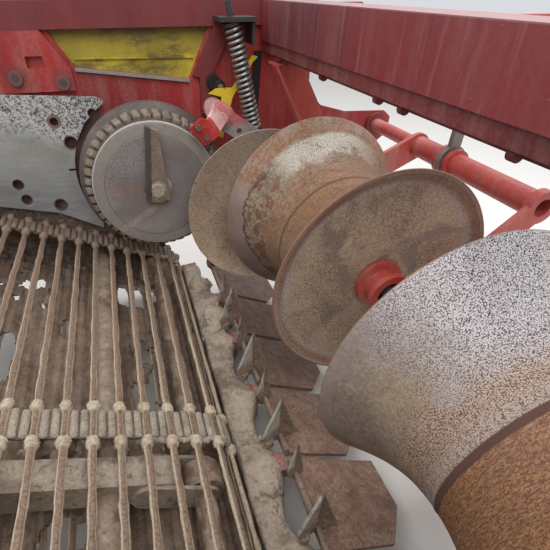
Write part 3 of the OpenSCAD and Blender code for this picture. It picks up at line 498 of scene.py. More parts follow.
def roller_face(name, centre, front):
    """The steel face of a haulm roller: grey with a lighter bevel, a brown channel from the hub
    with a painted shadow along one side, a smear of rust, a long scratch, and painted highlights
    where it is lit, along the top of its rim and round the lower edge of its hub."""
    f = Finish(name)
    x, y, z = f.axes()
    across = x - centre[0]
    over = z - centre[2]
    reach = reach_from(across, over)
    cloud = f.noise(8, 5, 0.6, 0.3)
    fine = f.noise(300, 3, 0.6)
    smear = f.noise(30, 6, 0.7)
    lit = (over * 5.0 - across * 4.0 + (cloud - 0.5) * 1.4).above(0.35, 0.35)
    rings = f.noise(1, 3, 0.6, at=f.vector(reach * 70.0))
    # A painted highlight along the upper part of the rim
    rim = (reach - RIM).size().below(0.0014, 0.0006) * (over + across * -0.3).above(0.03, 0.08)
    seam = (reach - (BEVEL - 0.0005)).size().below(0.001, 0.0006)
    near = oval(across + 0.07, 0.3, over - 0.004, 3.2) ** 0.5
    dabs = f.noise(110, 5, 0.75, 0.6)
    rusty_spot = (dabs * 0.75 + smear * 0.25 + (0.03 - near) * 3.0).above(0.5, 0.05)
    rusty_spot = rusty_spot * near.below(0.055, 0.04)
    slant = (over + across * -0.56 + 0.052).size()
    scratch = slant.below(0.0105, 0.004) * across.below(-0.005, 0.02) * across.above(-0.14, 0.02)
    channel = y.size().below(front - 0.0008, 0.0004)
    # A painted shadow along one side of the channel floor
    side_at = across + 0.033 - (over + 0.031) * 0.128
    brown = f.blend((side_at + (smear - 0.5) * 0.006).below(0.0125, 0.002) * 0.8,
                    f.ramp(smear * 0.5 + fine * 0.5, (0.34, 0.115, 0.085, 0.064),
                           (0.52, 0.215, 0.165, 0.125), (0.68, 0.32, 0.255, 0.2)),
                    (0.05, 0.038, 0.031))
    foot = (reach + (smear - 0.5) * 0.03).below(0.0275, 0.003) * channel
    foot = foot * side_at.above(0.0125, 0.002)
    # A painted highlight round the lower edge of the hub
    hub_highlight = (reach - HUB).size().below(0.0024, 0.0012) * (over - across * 0.5).below(0.004, 0.012)
    skin = f.layers(
        f.ramp(cloud * 0.7 + fine * 0.3, (0.32, 0.185, 0.16, 0.158), (0.5, 0.255, 0.225, 0.218),
               (0.68, 0.345, 0.318, 0.302)),
        (fine.above(0.5, 0.05) * lit * 0.6, (0.45, 0.43, 0.405)),
        ((rings - 0.44) * 0.9, (0.345, 0.31, 0.3)),
        (reach.above(BEVEL, 0.0012) * 0.65,
         f.blend(smear, (0.24, 0.205, 0.175), (0.45, 0.405, 0.35))),
        (rim * 0.75, (0.66, 0.64, 0.6)), (seam * 0.6, (0.1, 0.085, 0.078)),
        (rusty_spot * (fine * 1.3 - 0.15).clamp() * 0.8, (0.37, 0.19, 0.125)),
        (scratch * (fine * 0.6 + smear * 0.6).above(0.57, 0.06) * 0.8, (0.46, 0.375, 0.305)),
        (channel, brown),
        (foot, f.ramp(fine, (0.36, 0.19, 0.155, 0.115), (0.56, 0.4, 0.345, 0.265),
                      (0.7, 0.52, 0.47, 0.38))),
        (hub_highlight * (1.0 - channel) * 0.8, (0.68, 0.65, 0.62)))
    return f.done(skin, (0.42 + cloud * 0.15 + channel * 0.4).clamp(),
                  (0.3 - channel * 0.3).clamp(), fine * 0.3 + smear * channel, 0.0009, 0.4)


def tread_rubber(name, inner):
    """The rubber of a haulm roller: a damp shoulder between the lugs and a smooth dark band
    behind them."""
    f = Finish(name)
    y = f.axes()[1]
    cloud = f.noise(13, 5, 0.6)
    fine = f.noise(120, 5, 0.7)
    band = f.ramp(cloud * 0.7 + fine * 0.3, (0.34, 0.05, 0.04, 0.035), (0.52, 0.098, 0.078, 0.068),
                  (0.68, 0.165, 0.135, 0.118))
    slots = f.ramp(fine * 0.6 + cloud * 0.4, (0.36, 0.04, 0.03, 0.023), (0.54, 0.11, 0.085, 0.063),
                   (0.68, 0.23, 0.185, 0.138))
    skin = f.blend((y.size() + (cloud - 0.5) * 0.003).above(inner + 0.031, 0.0012), slots, band)
    return f.done(skin, 0.66 + fine * 0.2, 0.0, fine * 0.6)


def lug_soil(name):
    """Tan soil dried on the lugs of a haulm roller."""
    f = Finish(name)
    cloud = f.noise(26, 5, 0.6)
    fine = f.noise(150, 5, 0.7)
    skin = f.ramp(fine * 0.6 + cloud * 0.4, (0.34, 0.085, 0.064, 0.046), (0.5, 0.185, 0.146, 0.108),
                  (0.66, 0.315, 0.262, 0.2))
    return f.done(skin, 0.9, 0.0, fine, 0.0012, 0.6)


def clamp_paint(name):
    """A bright red bolted plate before a faded pink web."""
    f = Finish(name)
    out = f.axes()[1].size()
    grit = f.noise(150, 4, 0.7)
    tone = f.noise(24, 5, 0.6) * 0.6 + grit * 0.4
    bright = f.ramp(tone, (0.34, 0.2, 0.02, 0.018), (0.54, 0.46, 0.028, 0.024),
                    (0.7, 0.6, 0.105, 0.09))
    pink = f.ramp(tone, (0.34, 0.5, 0.22, 0.21), (0.58, 0.7, 0.44, 0.42))
    skin = f.layers(bright, (out.above(CLAMP_FACE, 0.0006), pink),
                    (out.below(CLAMP_BOLTS, 0.0004), (0.13, 0.1, 0.09)))
    return f.done(skin, 0.5, 0.0, grit * 0.5, 0.0008)


def arm_paint(name):
    """A coulter arm: faded red round its head, worn grey below."""
    f = Finish(name)
    z = f.axes()[2]
    cloud = f.noise(18, 5, 0.6)
    grit = f.noise(140, 4, 0.7)
    tone = cloud * 0.6 + grit * 0.4
    red = f.ramp(tone, (0.34, 0.34, 0.055, 0.052), (0.56, 0.5, 0.145, 0.135),
                 (0.72, 0.58, 0.27, 0.25))
    grey = f.ramp(tone, (0.34, 0.2, 0.175, 0.17), (0.52, 0.31, 0.275, 0.265),
                  (0.7, 0.41, 0.365, 0.345))
    skin = f.blend((z + (cloud - 0.5) * 0.05).above(ARM_SHOULDER, 0.01), grey, red)
    return f.done(skin, 0.55 + grit * 0.2, 0.15, grit * 0.5, 0.0008)


def bar_paint(name):
    """The bars that carry the shares: worn red on top and brown soil in front and below."""
    f = Finish(name)
    x = f.axes()[0]
    skin, rough, bump = paint_layers(f, (0.36, 0.04, 0.036), (0.22, 0.028, 0.026), 0.6, 0.35)
    fine = f.noise(110, 5, 0.72)
    wide = f.noise(24, 6, 0.68, 0.3)
    soil = f.ramp(fine * 0.6 + wide * 0.4, (0.34, 0.115, 0.075, 0.055), (0.5, 0.245, 0.18, 0.13),
                  (0.66, 0.41, 0.33, 0.255))
    front = (x + (wide - 0.5) * 0.02).above(BAR_FRONT, 0.006)
    patches = (wide + (fine - 0.5) * 0.3).above(0.62, 0.04)
    shows = (front + patches * 0.8).clamp()
    return f.done(f.blend(shows * 0.95, skin, soil), (rough + shows * 0.35).clamp(), 0.0,
                  bump + shows * (fine + wide), 0.0014, 0.6)


def right_roller_skin(f, turn, across, cloud, wide, fine, sand, bands):
    """The near roller: black and white pits above, their white a painted highlight that grows
    towards the top, olive film at its rim, ginger and streaked orange rust. Gives the worn skin,
    the mask and colour of its bright band, and the pits."""
    # Pitted steel, its white painted as a highlight that grows stronger towards the top
    speckle = sand.above(0.474, 0.04)
    depth = ((turn - 0.9) * 0.8 + cloud * 0.5).clamp()
    pitted = f.blend(speckle, f.blend(depth, (0.1, 0.07, 0.07), (0.022, 0.016, 0.017)),
                     f.blend(depth, (0.48, 0.44, 0.435), (0.76, 0.73, 0.74)))
    # The band where the painted highlight lies: the upper side of the flank
    facing = turn + (cloud - 0.5) * 1.2
    bright = (facing.above(0.72, 0.4) * (across + (cloud - 0.5) * 0.5).below(-0.33, 0.2)
              * across.above(-0.985, 0.01) * (turn.below(1.95, 0.4) * 0.6 + 0.4))
    ginger = (across + (cloud - 0.5) * 0.6 - (turn - 0.9).clamp() * 0.1).above(-0.46, 0.14)
    lip = across.below(-0.9, 0.05) * turn.below(0.9, 0.3)
    ochre = oval(across + 0.6, 14.0, turn - 0.42, 5.0)
    wiped = oval(across + 0.36, 60.0, turn - 0.66, 22.0)
    pale = across.above(-0.12, 0.04) * across.below(-0.01, 0.02) * fine.above(0.5, 0.12)
    fibres = f.vector(turn * 16.0, across * 95.0)
    grains = f.noise(430, 3, 0.6) * 0.5 + f.noise(1, 4, 0.7, at=fibres) * 0.5
    rust = f.layers(f.blend(grains.above(0.51, 0.07), (0.15, 0.058, 0.026), (0.37, 0.2, 0.092)),
                    (((bands - 0.42) * 5.0).clamp() * 0.85,
                     f.blend(grains.above(0.51, 0.08), (0.105, 0.042, 0.024), (0.25, 0.118, 0.056))),
                    (bands.above(0.6, 0.03) * 0.5, (0.43, 0.31, 0.2)))
    skin = f.layers(
        f.ramp(fine * 0.6 + wide * 0.4, (0.34, 0.135, 0.098, 0.078), (0.5, 0.25, 0.195, 0.155),
               (0.66, 0.37, 0.315, 0.255)),
        (lip * 0.7, f.blend(fine, (0.17, 0.125, 0.11), (0.35, 0.29, 0.265))),
        (ginger, f.blend(sand.above(0.49, 0.06), (0.12, 0.052, 0.03), (0.44, 0.335, 0.255))),
        ((1.0 - ochre + (wide - 0.5) * 1.6).clamp() * (sand * 2.0 - 0.72).clamp() * 0.8,
         (0.42, 0.285, 0.115)),
        ((1.0 - wiped + (wide - 0.5) * 2.4).clamp() * 0.35, (0.4, 0.375, 0.375)),
        (pale * 0.5, (0.43, 0.375, 0.355)), (across.above(0.02, 0.02), rust))
    return skin, bright, pitted, speckle


def left_roller_skin(f, turn, across, cloud, wide, fine, sand, bands):
    """The far roller: a gritty pale band on top, torn rust on its flank, fiery rust at the waist
    and a smooth lavender-brown rim behind a ragged edge. Gives what right_roller_skin does."""
    speckle = sand.above(0.44, 0.05)
    edge = across + (wide - 0.5) * 0.45
    band = edge.above(0.5, 0.04) * (across + (cloud - 0.5) * 0.18).below(0.79, 0.03)
    top = turn.above(0.92, 0.22) * turn.below(2.1, 0.3)
    bright = band * top * (fine * 0.4 + wide * 0.6).above(0.42, 0.06)
    grain = f.noise(330, 2, 0.55)
    torn = f.noise(20, 7, 0.72, 0.9)
    splits = f.noise(46, 7, 0.75, 0.7)
    gritty = f.ramp(fine * 0.7 + wide * 0.3, (0.36, 0.11, 0.072, 0.045), (0.5, 0.225, 0.175, 0.115),
                    (0.64, 0.355, 0.3, 0.212))
    dark_patch = f.ramp(fine, (0.3, 0.08, 0.03, 0.02), (0.7, 0.26, 0.115, 0.072))
    fiery = f.blend((sand * 0.6 + fine * 0.4 + (bands - 0.5) * 0.4).above(0.5, 0.05),
                    (0.15, 0.058, 0.026), (0.335, 0.195, 0.108))
    flank = (across + (wide - 0.5) * 0.25).above(0.42, 0.08)
    upper_rim = (across + (torn - 0.5) * 0.1).above(0.79, 0.03) * turn.above(0.3, 0.2)
    ragged = across + (torn - 0.5) * 0.24 + (turn - 0.3).size() * 0.16
    skin = f.layers(
        gritty, ((cloud * 0.5 + bands * 0.5 - across * 0.12).above(0.44, 0.09), fiery),
        ((splits * 0.6 + torn * 0.4).above(0.545, 0.03) * 0.75, dark_patch),
        (flank * turn.below(0.98, 0.25),
         f.blend((torn * 0.55 + splits * 0.45).above(0.505, 0.025), gritty, dark_patch)),
        (upper_rim * 0.9, f.blend((torn + (across - 0.9) * -0.6).above(0.44, 0.07),
                                  f.blend(fine, (0.2, 0.13, 0.092), (0.37, 0.285, 0.225)), fiery)),
        (ragged.above(0.8, 0.02) * (turn + (cloud - 0.5) * 0.5).below(0.5, 0.1),
         f.blend((wide * 1.8 - 0.5 + (grain - 0.5) * 0.8).clamp(), (0.195, 0.132, 0.105),
                 (0.315, 0.245, 0.212))),
        ((ragged - 0.79).size().below(0.014, 0.008) * turn.below(0.8, 0.15) * 0.85,
         (0.06, 0.025, 0.018)))
    return skin, bright, f.blend(speckle, (0.12, 0.082, 0.055), (0.56, 0.52, 0.43)), speckle


def roller_rust(name, centre, half, side):
    """The skin of a waisted roller: its worn flanks, a dark brown weld round the waist that also
    paints the shade of a recess, and brown end plates with a greyer ring at the rim."""
    f = Finish(name)
    x, y, z = f.axes()
    back = centre[0] - x
    over = z - centre[2]
    reach = reach_from(back, over)
    turn = f.node("ShaderNodeMath", {"operation": "ARCTAN2"}, {0: over, 1: back})
    across = (y - centre[1]) * (side / half)
    cloud = f.noise(5.5, 6, 0.62, 0.5)
    wide = f.noise(12, 6, 0.6)
    fine = f.noise(130, 4, 0.7)
    sand = f.noise(520, 2, 0.55)
    bands = f.noise(1, 6, 0.72, at=f.vector(turn * 2.6, across * 26.0))
    skin_of, weld_and_shade_colour = ((right_roller_skin, (0.088, 0.04, 0.03)) if side < 0
                            else (left_roller_skin, (0.15, 0.07, 0.04)))
    skin, bright, pitted, speckle = skin_of(f, turn, across, cloud, wide, fine, sand, bands)
    # The weld band round the waist, painted dark for the weld and for the shade of a recess
    weld = across.above(-0.014, 0.006) * across.below(0.04, 0.006)
    grit = f.noise(210, 4, 0.7)
    smudge = f.noise(7, 6, 0.68, 0.6)
    upper = (over * 2.2 - back * -1.2 + 0.55).clamp()
    pits = f.noise(300, 2, 0.55).below(0.42, 0.03)
    plate = f.layers(
        f.ramp(grit * 0.7 + wide * 0.3, (0.38, 0.165, 0.108, 0.072), (0.48, 0.345, 0.258, 0.178),
               (0.57, 0.455, 0.358, 0.255), (0.68, 0.6, 0.505, 0.39)),
        ((smudge + upper * 0.05).above(0.585, 0.05) * 0.6,
         f.blend(grit, (0.075, 0.05, 0.05), (0.25, 0.19, 0.175))),
        ((reach + (wide - 0.5) * 0.03).above(RING, 0.012) * 0.8,
         f.blend(pits * 0.7, f.ramp(grit, (0.3, 0.27, 0.235, 0.21), (0.7, 0.5, 0.46, 0.43)),
                 (0.1, 0.078, 0.07))))
    off = across.size()
    ends = off.above(0.925, 0.004) * (reach - off * 0.4).below(-0.1418, 0.002)
    edge_band = (across * across).above(0.972, 0.01) * reach.above(EDGE, 0.002)
    # The bright band: on the near roller a painted highlight over its pits
    colours = f.layers(skin, (bright.clamp(), pitted), (weld * 0.95, weld_and_shade_colour), (ends, plate),
                       (edge_band * 0.85, f.blend(fine, (0.17, 0.075, 0.045), (0.36, 0.215, 0.14))))
    sheen = bright * (1.0 - weld)
    rough = 0.5 + fine * 0.25 - sheen * 0.14 + weld * 0.25
    bump = fine * 0.4 + sand * 0.4 + sheen * (speckle * 0.4) + weld * 0.3
    return f.done(colours, rough.clamp(), sheen.clamp() * 0.25, bump, 0.001, 0.55)


def muddy_rod(name):
    """A web rod: worn brown along its outer and inner sides, with pale dried soil beside."""
    f = Finish(name)
    wear = f.node("ShaderNodeAttribute", {"attribute_name": "wear"}, {}, "Fac")
    y = f.axes()[1]
    long_way = f.noise(30, 6, 0.65, at=f.stretched((1.6, 0.3, 1.6)))
    crumbs = f.noise(190, 5, 0.75)
    soil = f.ramp(crumbs * 0.6 + long_way * 0.4, (0.32, 0.15, 0.105, 0.074),
                  (0.46, 0.335, 0.265, 0.185), (0.6, 0.52, 0.445, 0.33), (0.74, 0.65, 0.58, 0.455))
    bare = f.ramp(crumbs, (0.36, 0.065, 0.036, 0.023), (0.64, 0.235, 0.142, 0.088))
    shows = (wear + (long_way - 0.5) * 0.9 + (crumbs - 0.5) * 0.5).above(0.72, 0.09)
    far = (y * 1.5 - 0.15).clamp() * 0.45 + y.above(0.66, 0.015) * 0.4
    skin = f.layers(soil, (shows * 0.9, bare),
                    (far, f.blend(crumbs, (0.085, 0.052, 0.038), (0.27, 0.18, 0.13))))
    return f.done(skin, 0.86 - shows * 0.25, 0.0, crumbs * 0.7 + long_way * 0.5 - shows * 0.3,
                  0.0016, 0.8)


def muddy_lug(name):
    """A pale rubber lug, dusted with tan-grey soil, browner towards the left belt."""
    f = Finish(name)
    y = f.axes()[1]
    cloud = f.noise(34, 5, 0.65)
    crumbs = f.noise(240, 4, 0.75)
    pale = f.ramp(cloud * 0.45 + crumbs * 0.55, (0.34, 0.115, 0.09, 0.066),
                  (0.47, 0.245, 0.202, 0.155), (0.62, 0.385, 0.335, 0.268))
    brown = f.ramp(crumbs, (0.35, 0.065, 0.045, 0.033), (0.65, 0.23, 0.165, 0.118))
    return f.done(f.blend(y.above(0.4, 0.1) * 0.85, pale, brown), 0.92, 0.0, crumbs, 0.0014, 0.7)


def web_crust(name):
    """Dried soil between the rods of the lower run, painted dark as the shade under the upper run,
    with painted shade in its grooves.
    """
    f = Finish(name)
    lumps = f.noise(26, 7, 0.68, 0.3)
    crumbs = f.noise(150, 5, 0.75)
    # Rows of darker soil along the grooves: painted shade
    rows = f.noise(40, 5, 0.6, at=f.stretched((1.6, 0.12, 1.6)))
    soil = f.ramp(lumps * 0.35 + crumbs * 0.3 + rows * 0.35, (0.36, 0.058, 0.037, 0.026),
                  (0.48, 0.165, 0.112, 0.078), (0.6, 0.3, 0.22, 0.16))
    return f.done(soil, 0.95, 0.0, lumps * 0.8 + crumbs * 0.5 + rows, 0.0025, 0.8)


# Pieces: making, placing and handing them over


def finished(mesh, name, body, material, replaced=(), smooth=True):
    """Turns a bmesh into an object that rides on a body and shows one finish."""
    bmesh.ops.recalc_face_normals(mesh, faces=mesh.faces)
    for face in mesh.faces:
        face.smooth = smooth
    data = bpy.data.meshes.new(name)
    mesh.to_mesh(data)
    mesh.free()
    data.materials.append(material)
    piece = added(name, data)
    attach(piece, body)
    if replaced:
        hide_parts(*replaced)


def added(name, data, place=ORIGIN, turn=ORIGIN):
    """A new object of the scene."""
    piece = bpy.data.objects.new(name, data)
    piece.location = place
    piece.rotation_euler = turn
    bpy.context.scene.collection.objects.link(piece)
    return piece


def merged(parts):
    """One bmesh of several, which are freed."""
    whole = bmesh.new()
    for part in parts:
        data = bpy.data.meshes.new("part")
        part.to_mesh(data)
        part.free()
        whole.from_mesh(data)
        bpy.data.meshes.remove(data)
    return whole


def placed(mesh, place, turn=0.0, axis="Y"):
    """Turns a bmesh about an axis through the origin and then moves it to a place."""
    if turn:
        bmesh.ops.rotate(mesh, verts=mesh.verts, cent=ORIGIN, matrix=Matrix.Rotation(turn, 3, axis))
    bmesh.ops.translate(mesh, verts=mesh.verts, vec=place)
    return mesh


def turned(profile, steps=48, centre=ORIGIN, sign=1, capped=True):
    """A profile of (radius, y) spun about an axis along Y, mirrored for a sign of -1 and closed
    to the axis at both ends where it is capped."""
    if capped:
        profile = [(0.0, profile[0][1]), *profile, (0.0, profile[-1][1])]
    mesh = bmesh.new()
    points = [mesh.verts.new((0.0, y * sign, radius)) for radius, y in profile]
    edges = [mesh.edges.new(pair) for pair in zip(points, points[1:])]
    bmesh.ops.spin(mesh, geom=points + edges, cent=ORIGIN, axis=(0.0, 1.0, 0.0), dvec=ORIGIN,
                   angle=math.tau, steps=steps, use_merge=True)
    bmesh.ops.remove_doubles(mesh, verts=mesh.verts, dist=1e-6)
    return placed(mesh, centre)


def block(size, place, turn=0.0, edge=0.0015, segments=1):
    """A box with rounded edges, turned about Y, with its middle at a place."""
    mesh = bmesh.new()
    bmesh.ops.create_cube(mesh, size=1.0)
    bmesh.ops.scale(mesh, verts=mesh.verts, vec=size)
    bmesh.ops.bevel(mesh, geom=mesh.edges[:], offset=edge, offset_type="OFFSET", segments=segments,
                    profile=0.5, affect="EDGES", material=-1)
    return placed(mesh, place, turn)


def wave(*place):
    """Noise at a place, from -1 to 1."""
    return noise.noise(Vector(place))


def roughen(mesh, amount, scale, seed=0.0):
    """Moves each vertex along its normal by coarse and fine noise."""
    mesh.normal_update()
    shift = Vector((seed, seed * 1.7, seed * 0.6))
    for vert in mesh.verts:
        spot = vert.co * scale + shift
        vert.co += vert.normal * (noise.noise(spot) + 0.4 * noise.noise(spot * 3.1)) * amount


def lump(place, size, seed, detail=4, rough=0.35):
    """A clod of dried soil: a ball pushed in and out by noise and scaled by axis."""
    mesh = bmesh.new()
    bmesh.ops.create_icosphere(mesh, subdivisions=detail, radius=1.0)
    for vert in mesh.verts:
        spot = vert.co * 1.6 + Vector((seed * 3.7, seed * 1.3, seed))
        push = noise.noise(spot) * rough + noise.noise(spot * 2.7) * rough * 0.5
        vert.co *= 1.0 + push + noise.noise(spot * 7.0) * rough * 0.16
    bmesh.ops.scale(mesh, verts=mesh.verts, vec=size)
    return placed(mesh, place)


def middle(node):
    """The middle of a node's box."""
    return [(a + b) / 2 for a, b in zip(*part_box(node))]


# The web's loop, from the shafts that it runs over

nose_at = middle("nose_rollers")
drive_at = middle("web_drive_shaft")
nose = Vector((nose_at[0], nose_at[2]))
drive = Vector((drive_at[0], drive_at[2]))
run = (nose - drive).length
down = (nose - drive) / run
up = Vector((-down[1], down[0]))
slope = -math.atan2(down[1], down[0])
turn_radius = (ROD_PITCH * ROD_COUNT - 2 * run) / math.tau
bend = math.pi * turn_radius
web_low, web_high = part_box("web")
belt_rows = (web_low[1] + BELT_HALF - 0.002, 0.0, web_high[1] - BELT_HALF + 0.002)


def on_loop(s, out=0.0):
    """Place (x, z) and angle of a rod at the length s along the loop from the top of the nose."""
    s = s % (ROD_PITCH * ROD_COUNT)
    radius = turn_radius + out
    if s < bend:
        angle = s / turn_radius
        side = up * math.cos(angle) + down * math.sin(angle)
        return nose + side * radius, slope + angle
    if s < bend + run:
        return nose - up * radius - down * (s - bend), slope + math.pi
    if s < 2 * bend + run:
        angle = (s - bend - run) / turn_radius
        side = -up * math.cos(angle) - down * math.sin(angle)
        return drive + side * radius, slope + math.pi + angle
    return drive + up * radius + down * (s - 2 * bend - run), slope


# Sizes and colours that a user would change

LENGTH = {"subtype": "DISTANCE", "unit": "LENGTH"}
ANGLE = {"subtype": "ANGLE", "unit": "ROTATION"}


def number(name, about, default, kind=bpy.props.FloatProperty, **more):
    """A property that the panel shows."""
    return kind(name=name, description=about, default=default, **more)


class DiggerProperties(bpy.types.PropertyGroup):
    """The look of the whole unit and its stage."""

    camera_place: number("Camera place", "Where the camera stands, in the part's frame",
                         (0.91726, -0.53414, 0.49114), bpy.props.FloatVectorProperty,
                         subtype="TRANSLATION", unit="LENGTH")
    camera_down: number("Camera pitch", "How far the camera looks down", math.radians(40.12), **ANGLE)
    camera_turn: number("Camera turn", "How far the camera turns to the right of the left side",
                        math.radians(15.81), **ANGLE)
    camera_lens: number("Lens", "Focal length on a 36 mm wide sensor", 26.432)
    camera_shift: number("Lens shift", "Shift of the picture to the right and up, in widths",
                         (0.04795, 0.09175), bpy.props.FloatVectorProperty, size=2)
    waist: number("Roller waist", "Radius of a waisted roller at its middle", 0.173, **LENGTH)
    knob_size: number("Rod knobs", "How far a rod's forged knobs stand out beside a belt",
                      0.0068, **LENGTH)
    rod_mud: number("Soil on the rods", "Greatest thickness of the soil on a rod", 0.0028, **LENGTH)
    lug_count: number("Haulm roller lugs", "Number of lugs round a haulm roller", 44,
                      bpy.props.IntProperty)
    channel_length: number("Face channel length", "From the hub of a haulm roller", 0.172, **LENGTH)
    web_gaps: number("Openings in the soil", "Lower values open more of the soil in the web", 0.27)
    floor_gap: number("Floor gap", "Clearance between the lowest point and the floor", 0.03, **LENGTH)
    floor_colour: number("Floor colour", "Colour of the plain floor", (0.72, 0.7, 0.66),
                         bpy.props.FloatVectorProperty, subtype="COLOR")


class DIGGER_OT_finishes(bpy.types.Operator):
    """Give every solid that stays in view its finish"""

    bl_idname = "digger.finishes"
    bl_label = "Finishes"

    def execute(self, context):
        # Coral red paint for the carrier, its rail and strut, made brighter than the worn red as
        # painted light
        lit_coral = painted("coral_red", (0.6, 0.115, 0.09), (0.42, 0.06, 0.05), 0.45, 0.1)
        red = painted("worn_red", (0.48, 0.05, 0.04), (0.28, 0.028, 0.026), 0.35)
        looks = {
            "side_frame": wall_paint("wall_red"), "side_panel": panel_yellow("muddy_yellow"),
            "cheek_plate": bare_plate("bare_zinc"),
            "wall_flap": plain_metal("flap_rubber", (0.045, 0.045, 0.045), 0.6, 0.05),
            "web_bearings": plain_metal("bearing_steel", (0.25, 0.23, 0.22)),
            "front_beam": beam_paint("beam_maroon"),
            "beam_rail": painted("faded_red", (0.23, 0.04, 0.04), (0.12, 0.022, 0.022), 0.25, 0.1),
            "tube_hangers": plain_metal("hanger_steel", (0.34, 0.32, 0.28), 0.5, 0.1),
            "cross_tubes": muddy("muddy_tube", 0.05), "nose_rollers": muddy("muddy_roller"),
            "web_drive_shaft": plain_metal("drive_steel", (0.22, 0.19, 0.17)),
            "support_beam": clay("caked_beam"), "support_rollers": muddy("caked_roller"),
            "share_beam": clay("caked_share_beam"), "share_carriers": bar_paint("bar_red"),
            "share_blades": share_rust("share_rust"), "share_guards": leaf_steel("leaf_steel"),
            "coulter_arm": arm_paint("arm_paint"), "coulter_clamp": clamp_paint("clamp_paint"),
            "arm_guard": painted("shield_yellow", (0.78, 0.58, 0.02), (0.62, 0.42, 0.018), 0.2, 0.1),
            "coulter_spring": plain_metal("spring_steel", (0.3, 0.3, 0.29), 0.3, 0.0),
            "spring_rod": plain_metal("rod_steel", (0.1, 0.09, 0.09), 0.4, 0.05),
            "disc": disc_tan("disc_tan"),
            "diabolo_shaft": plain_metal("shaft_steel", (0.2, 0.17, 0.15), 0.5, 0.3),
            "diabolo_hubs": painted("hub_red", (0.6, 0.075, 0.05), (0.34, 0.045, 0.035), 0.3, 0.4,
                                    0.1),
        }
        looks |= dict.fromkeys(("carrier_rail", "front_strut", "carrier"), lit_coral)
        looks |= dict.fromkeys(("lift_lugs", "haulm_bracket"), red)
        for name, node in node_of.items():
            kind = name.removesuffix("_left").removesuffix("_right")
            if kind in looks:
                node.data.materials.clear()
                node.data.materials.append(looks[kind])
        return {"FINISHED"}


class DIGGER_OT_web(bpy.types.Operator):
    """Make the rods of the web with their forged ends, and the belts with their lugs"""

    bl_idname = "digger.web"
    bl_label = "Web"

    def execute(self, context):
        digger = context.scene.digger
        knob = BELT_HALF + KNOB_OUT
        # Rings of vertices along a rod: even ones, and closer ones at each knob
        steps = 104
        stations = {web_high[1] * (2 * k / steps - 1) for k in range(steps + 1)}
        for row in belt_rows:
            for place in (row - knob, row + knob):
                stations |= {place + 0.003 * k for k in range(-5, 6)}

        def from_knob(y):
            return min(abs(abs(y - row) - knob) for row in belt_rows)

        def swell(y):
            return max(0.0, 1.0 - (from_knob(y) / KNOB_HALF) ** 2) ** 0.5 * digger.knob_size

        profile = [(ROD_RADIUS + swell(y), y) for y in sorted(stations)]
        rods = []
        for i in range(ROD_COUNT):
            rod = turned(profile, 12, capped=False)
            wear = rod.verts.layers.float.new("wear")
            for vert in rod.verts:
                reach = math.hypot(vert.co.x, vert.co.z)
                lumpy = max(0.0, 1.0 - from_knob(vert.co.y) / LUMP_HALF)
                vert[wear] = abs(vert.co.z) / max(reach, 0.001) * (1.0 - lumpy)
                # Soil of uneven thickness, with coarser lumps at the knobs
                spot = Vector((vert.co.x * 60 + i * 4.3, vert.co.y * 26, vert.co.z * 60))
                crust = max(0.0, noise.noise(spot) + 0.15) * digger.rod_mud
                crust += noise.noise(spot * 3.3) * digger.rod_mud * 0.35
                crust += noise.noise(vert.co * 260 + Vector((i * 7.7, 0, 0))) * 0.0052 * lumpy
                grow = 1.0 + crust / max(reach, 0.002)
                # A rod is flattened in the belts and a little oval between them
                flat = min(abs(vert.co.y - row) for row in belt_rows) < BELT_HALF
                vert.co.x *= grow * (1.12 if flat else 1.24 - 0.24 * min(1.0, lumpy * 2.0))
                vert.co.z *= grow * (0.72 if flat else 1.0)
            place, angle = on_loop(i * ROD_PITCH - FIRST_ROD)
            rods.append(placed(rod, (place[0], 0.0, place[1]), angle))
        finished(merged(rods), "web_rods", "frame", muddy_rod("caked_rod"), ("web",))
        belts, lugs, crumbs = [], [], []
        # A belt is a ring of points that is widened in six strips and then thickened
        count = 210
        for row in belt_rows:
            belt = bmesh.new()
            ring = []
            for k in range(count):
                place, _ = on_loop(k * ROD_PITCH * ROD_COUNT / count, 0.001)
                ring.append(belt.verts.new((place[0], row - BELT_HALF, place[1])))
            side = [belt.edges.new((ring[k], ring[(k + 1) % count])) for k in range(count)]
            for _ in range(6):
                grown = bmesh.ops.extrude_edge_only(belt, edges=side)["geom"]
                fresh = [g for g in grown if isinstance(g, bmesh.types.BMVert)]
                side = [g for g in grown if isinstance(g, bmesh.types.BMEdge)
                        and all(v in fresh for v in g.verts)]
                bmesh.ops.translate(belt, verts=fresh, vec=(0.0, BELT_HALF / 3, 0.0))
            bmesh.ops.recalc_face_normals(belt, faces=belt.faces)
            bmesh.ops.solidify(belt, geom=belt.faces[:], thickness=BELT_THICK)
            roughen(belt, 0.0012, 60.0, row)
            belts.append(belt)
            # Two lugs between each two rods, of uneven length
            for i in range(ROD_COUNT):
                for offset in (-LUG_APART, LUG_APART):
                    place, angle = on_loop((i + 0.5) * ROD_PITCH - FIRST_ROD + offset, LUG_RISE)
                    wobble = wave(i * 1.7, row * 9, offset * 300)
                    lugs.append(block((LUG_WIDE, LUG_LONG + wobble * 0.004, LUG_TALL),
                                      (place[0], row + wobble * 0.002, place[1]), angle, 0.0036))
            # Crumbs along the right edge of the belt, round the nose and on the lower run
            for i in range(2, 26):
                for k in range(5):
                    spread = wave(i * 3.7, k * 5.1, row * 3)
                    place, _ = on_loop((i + 0.22 + 0.14 * k) * ROD_PITCH - FIRST_ROD,
                                       -0.001 + spread * 0.004)
                    size = 0.005 + 0.006 * abs(spread)
                    crumbs.append(lump((place[0], row - BELT_HALF - 0.004 + spread * 0.009, place[1]),
                                       (size, size * 1.3, size * 0.8), i * 1.3 + k, 2))
        for parts, name, finish, replaced in ((belts, "web_belts", web_crust("caked_belt"), ("web",)),
                                              (lugs, "web_lugs", muddy_lug("pale_lug"), ("web",)),
                                              (crumbs, "web_crumbs", clay("crumbled_clay"), ())):
            finished(merged(parts), name, "frame", finish, replaced)
        return {"FINISHED"}


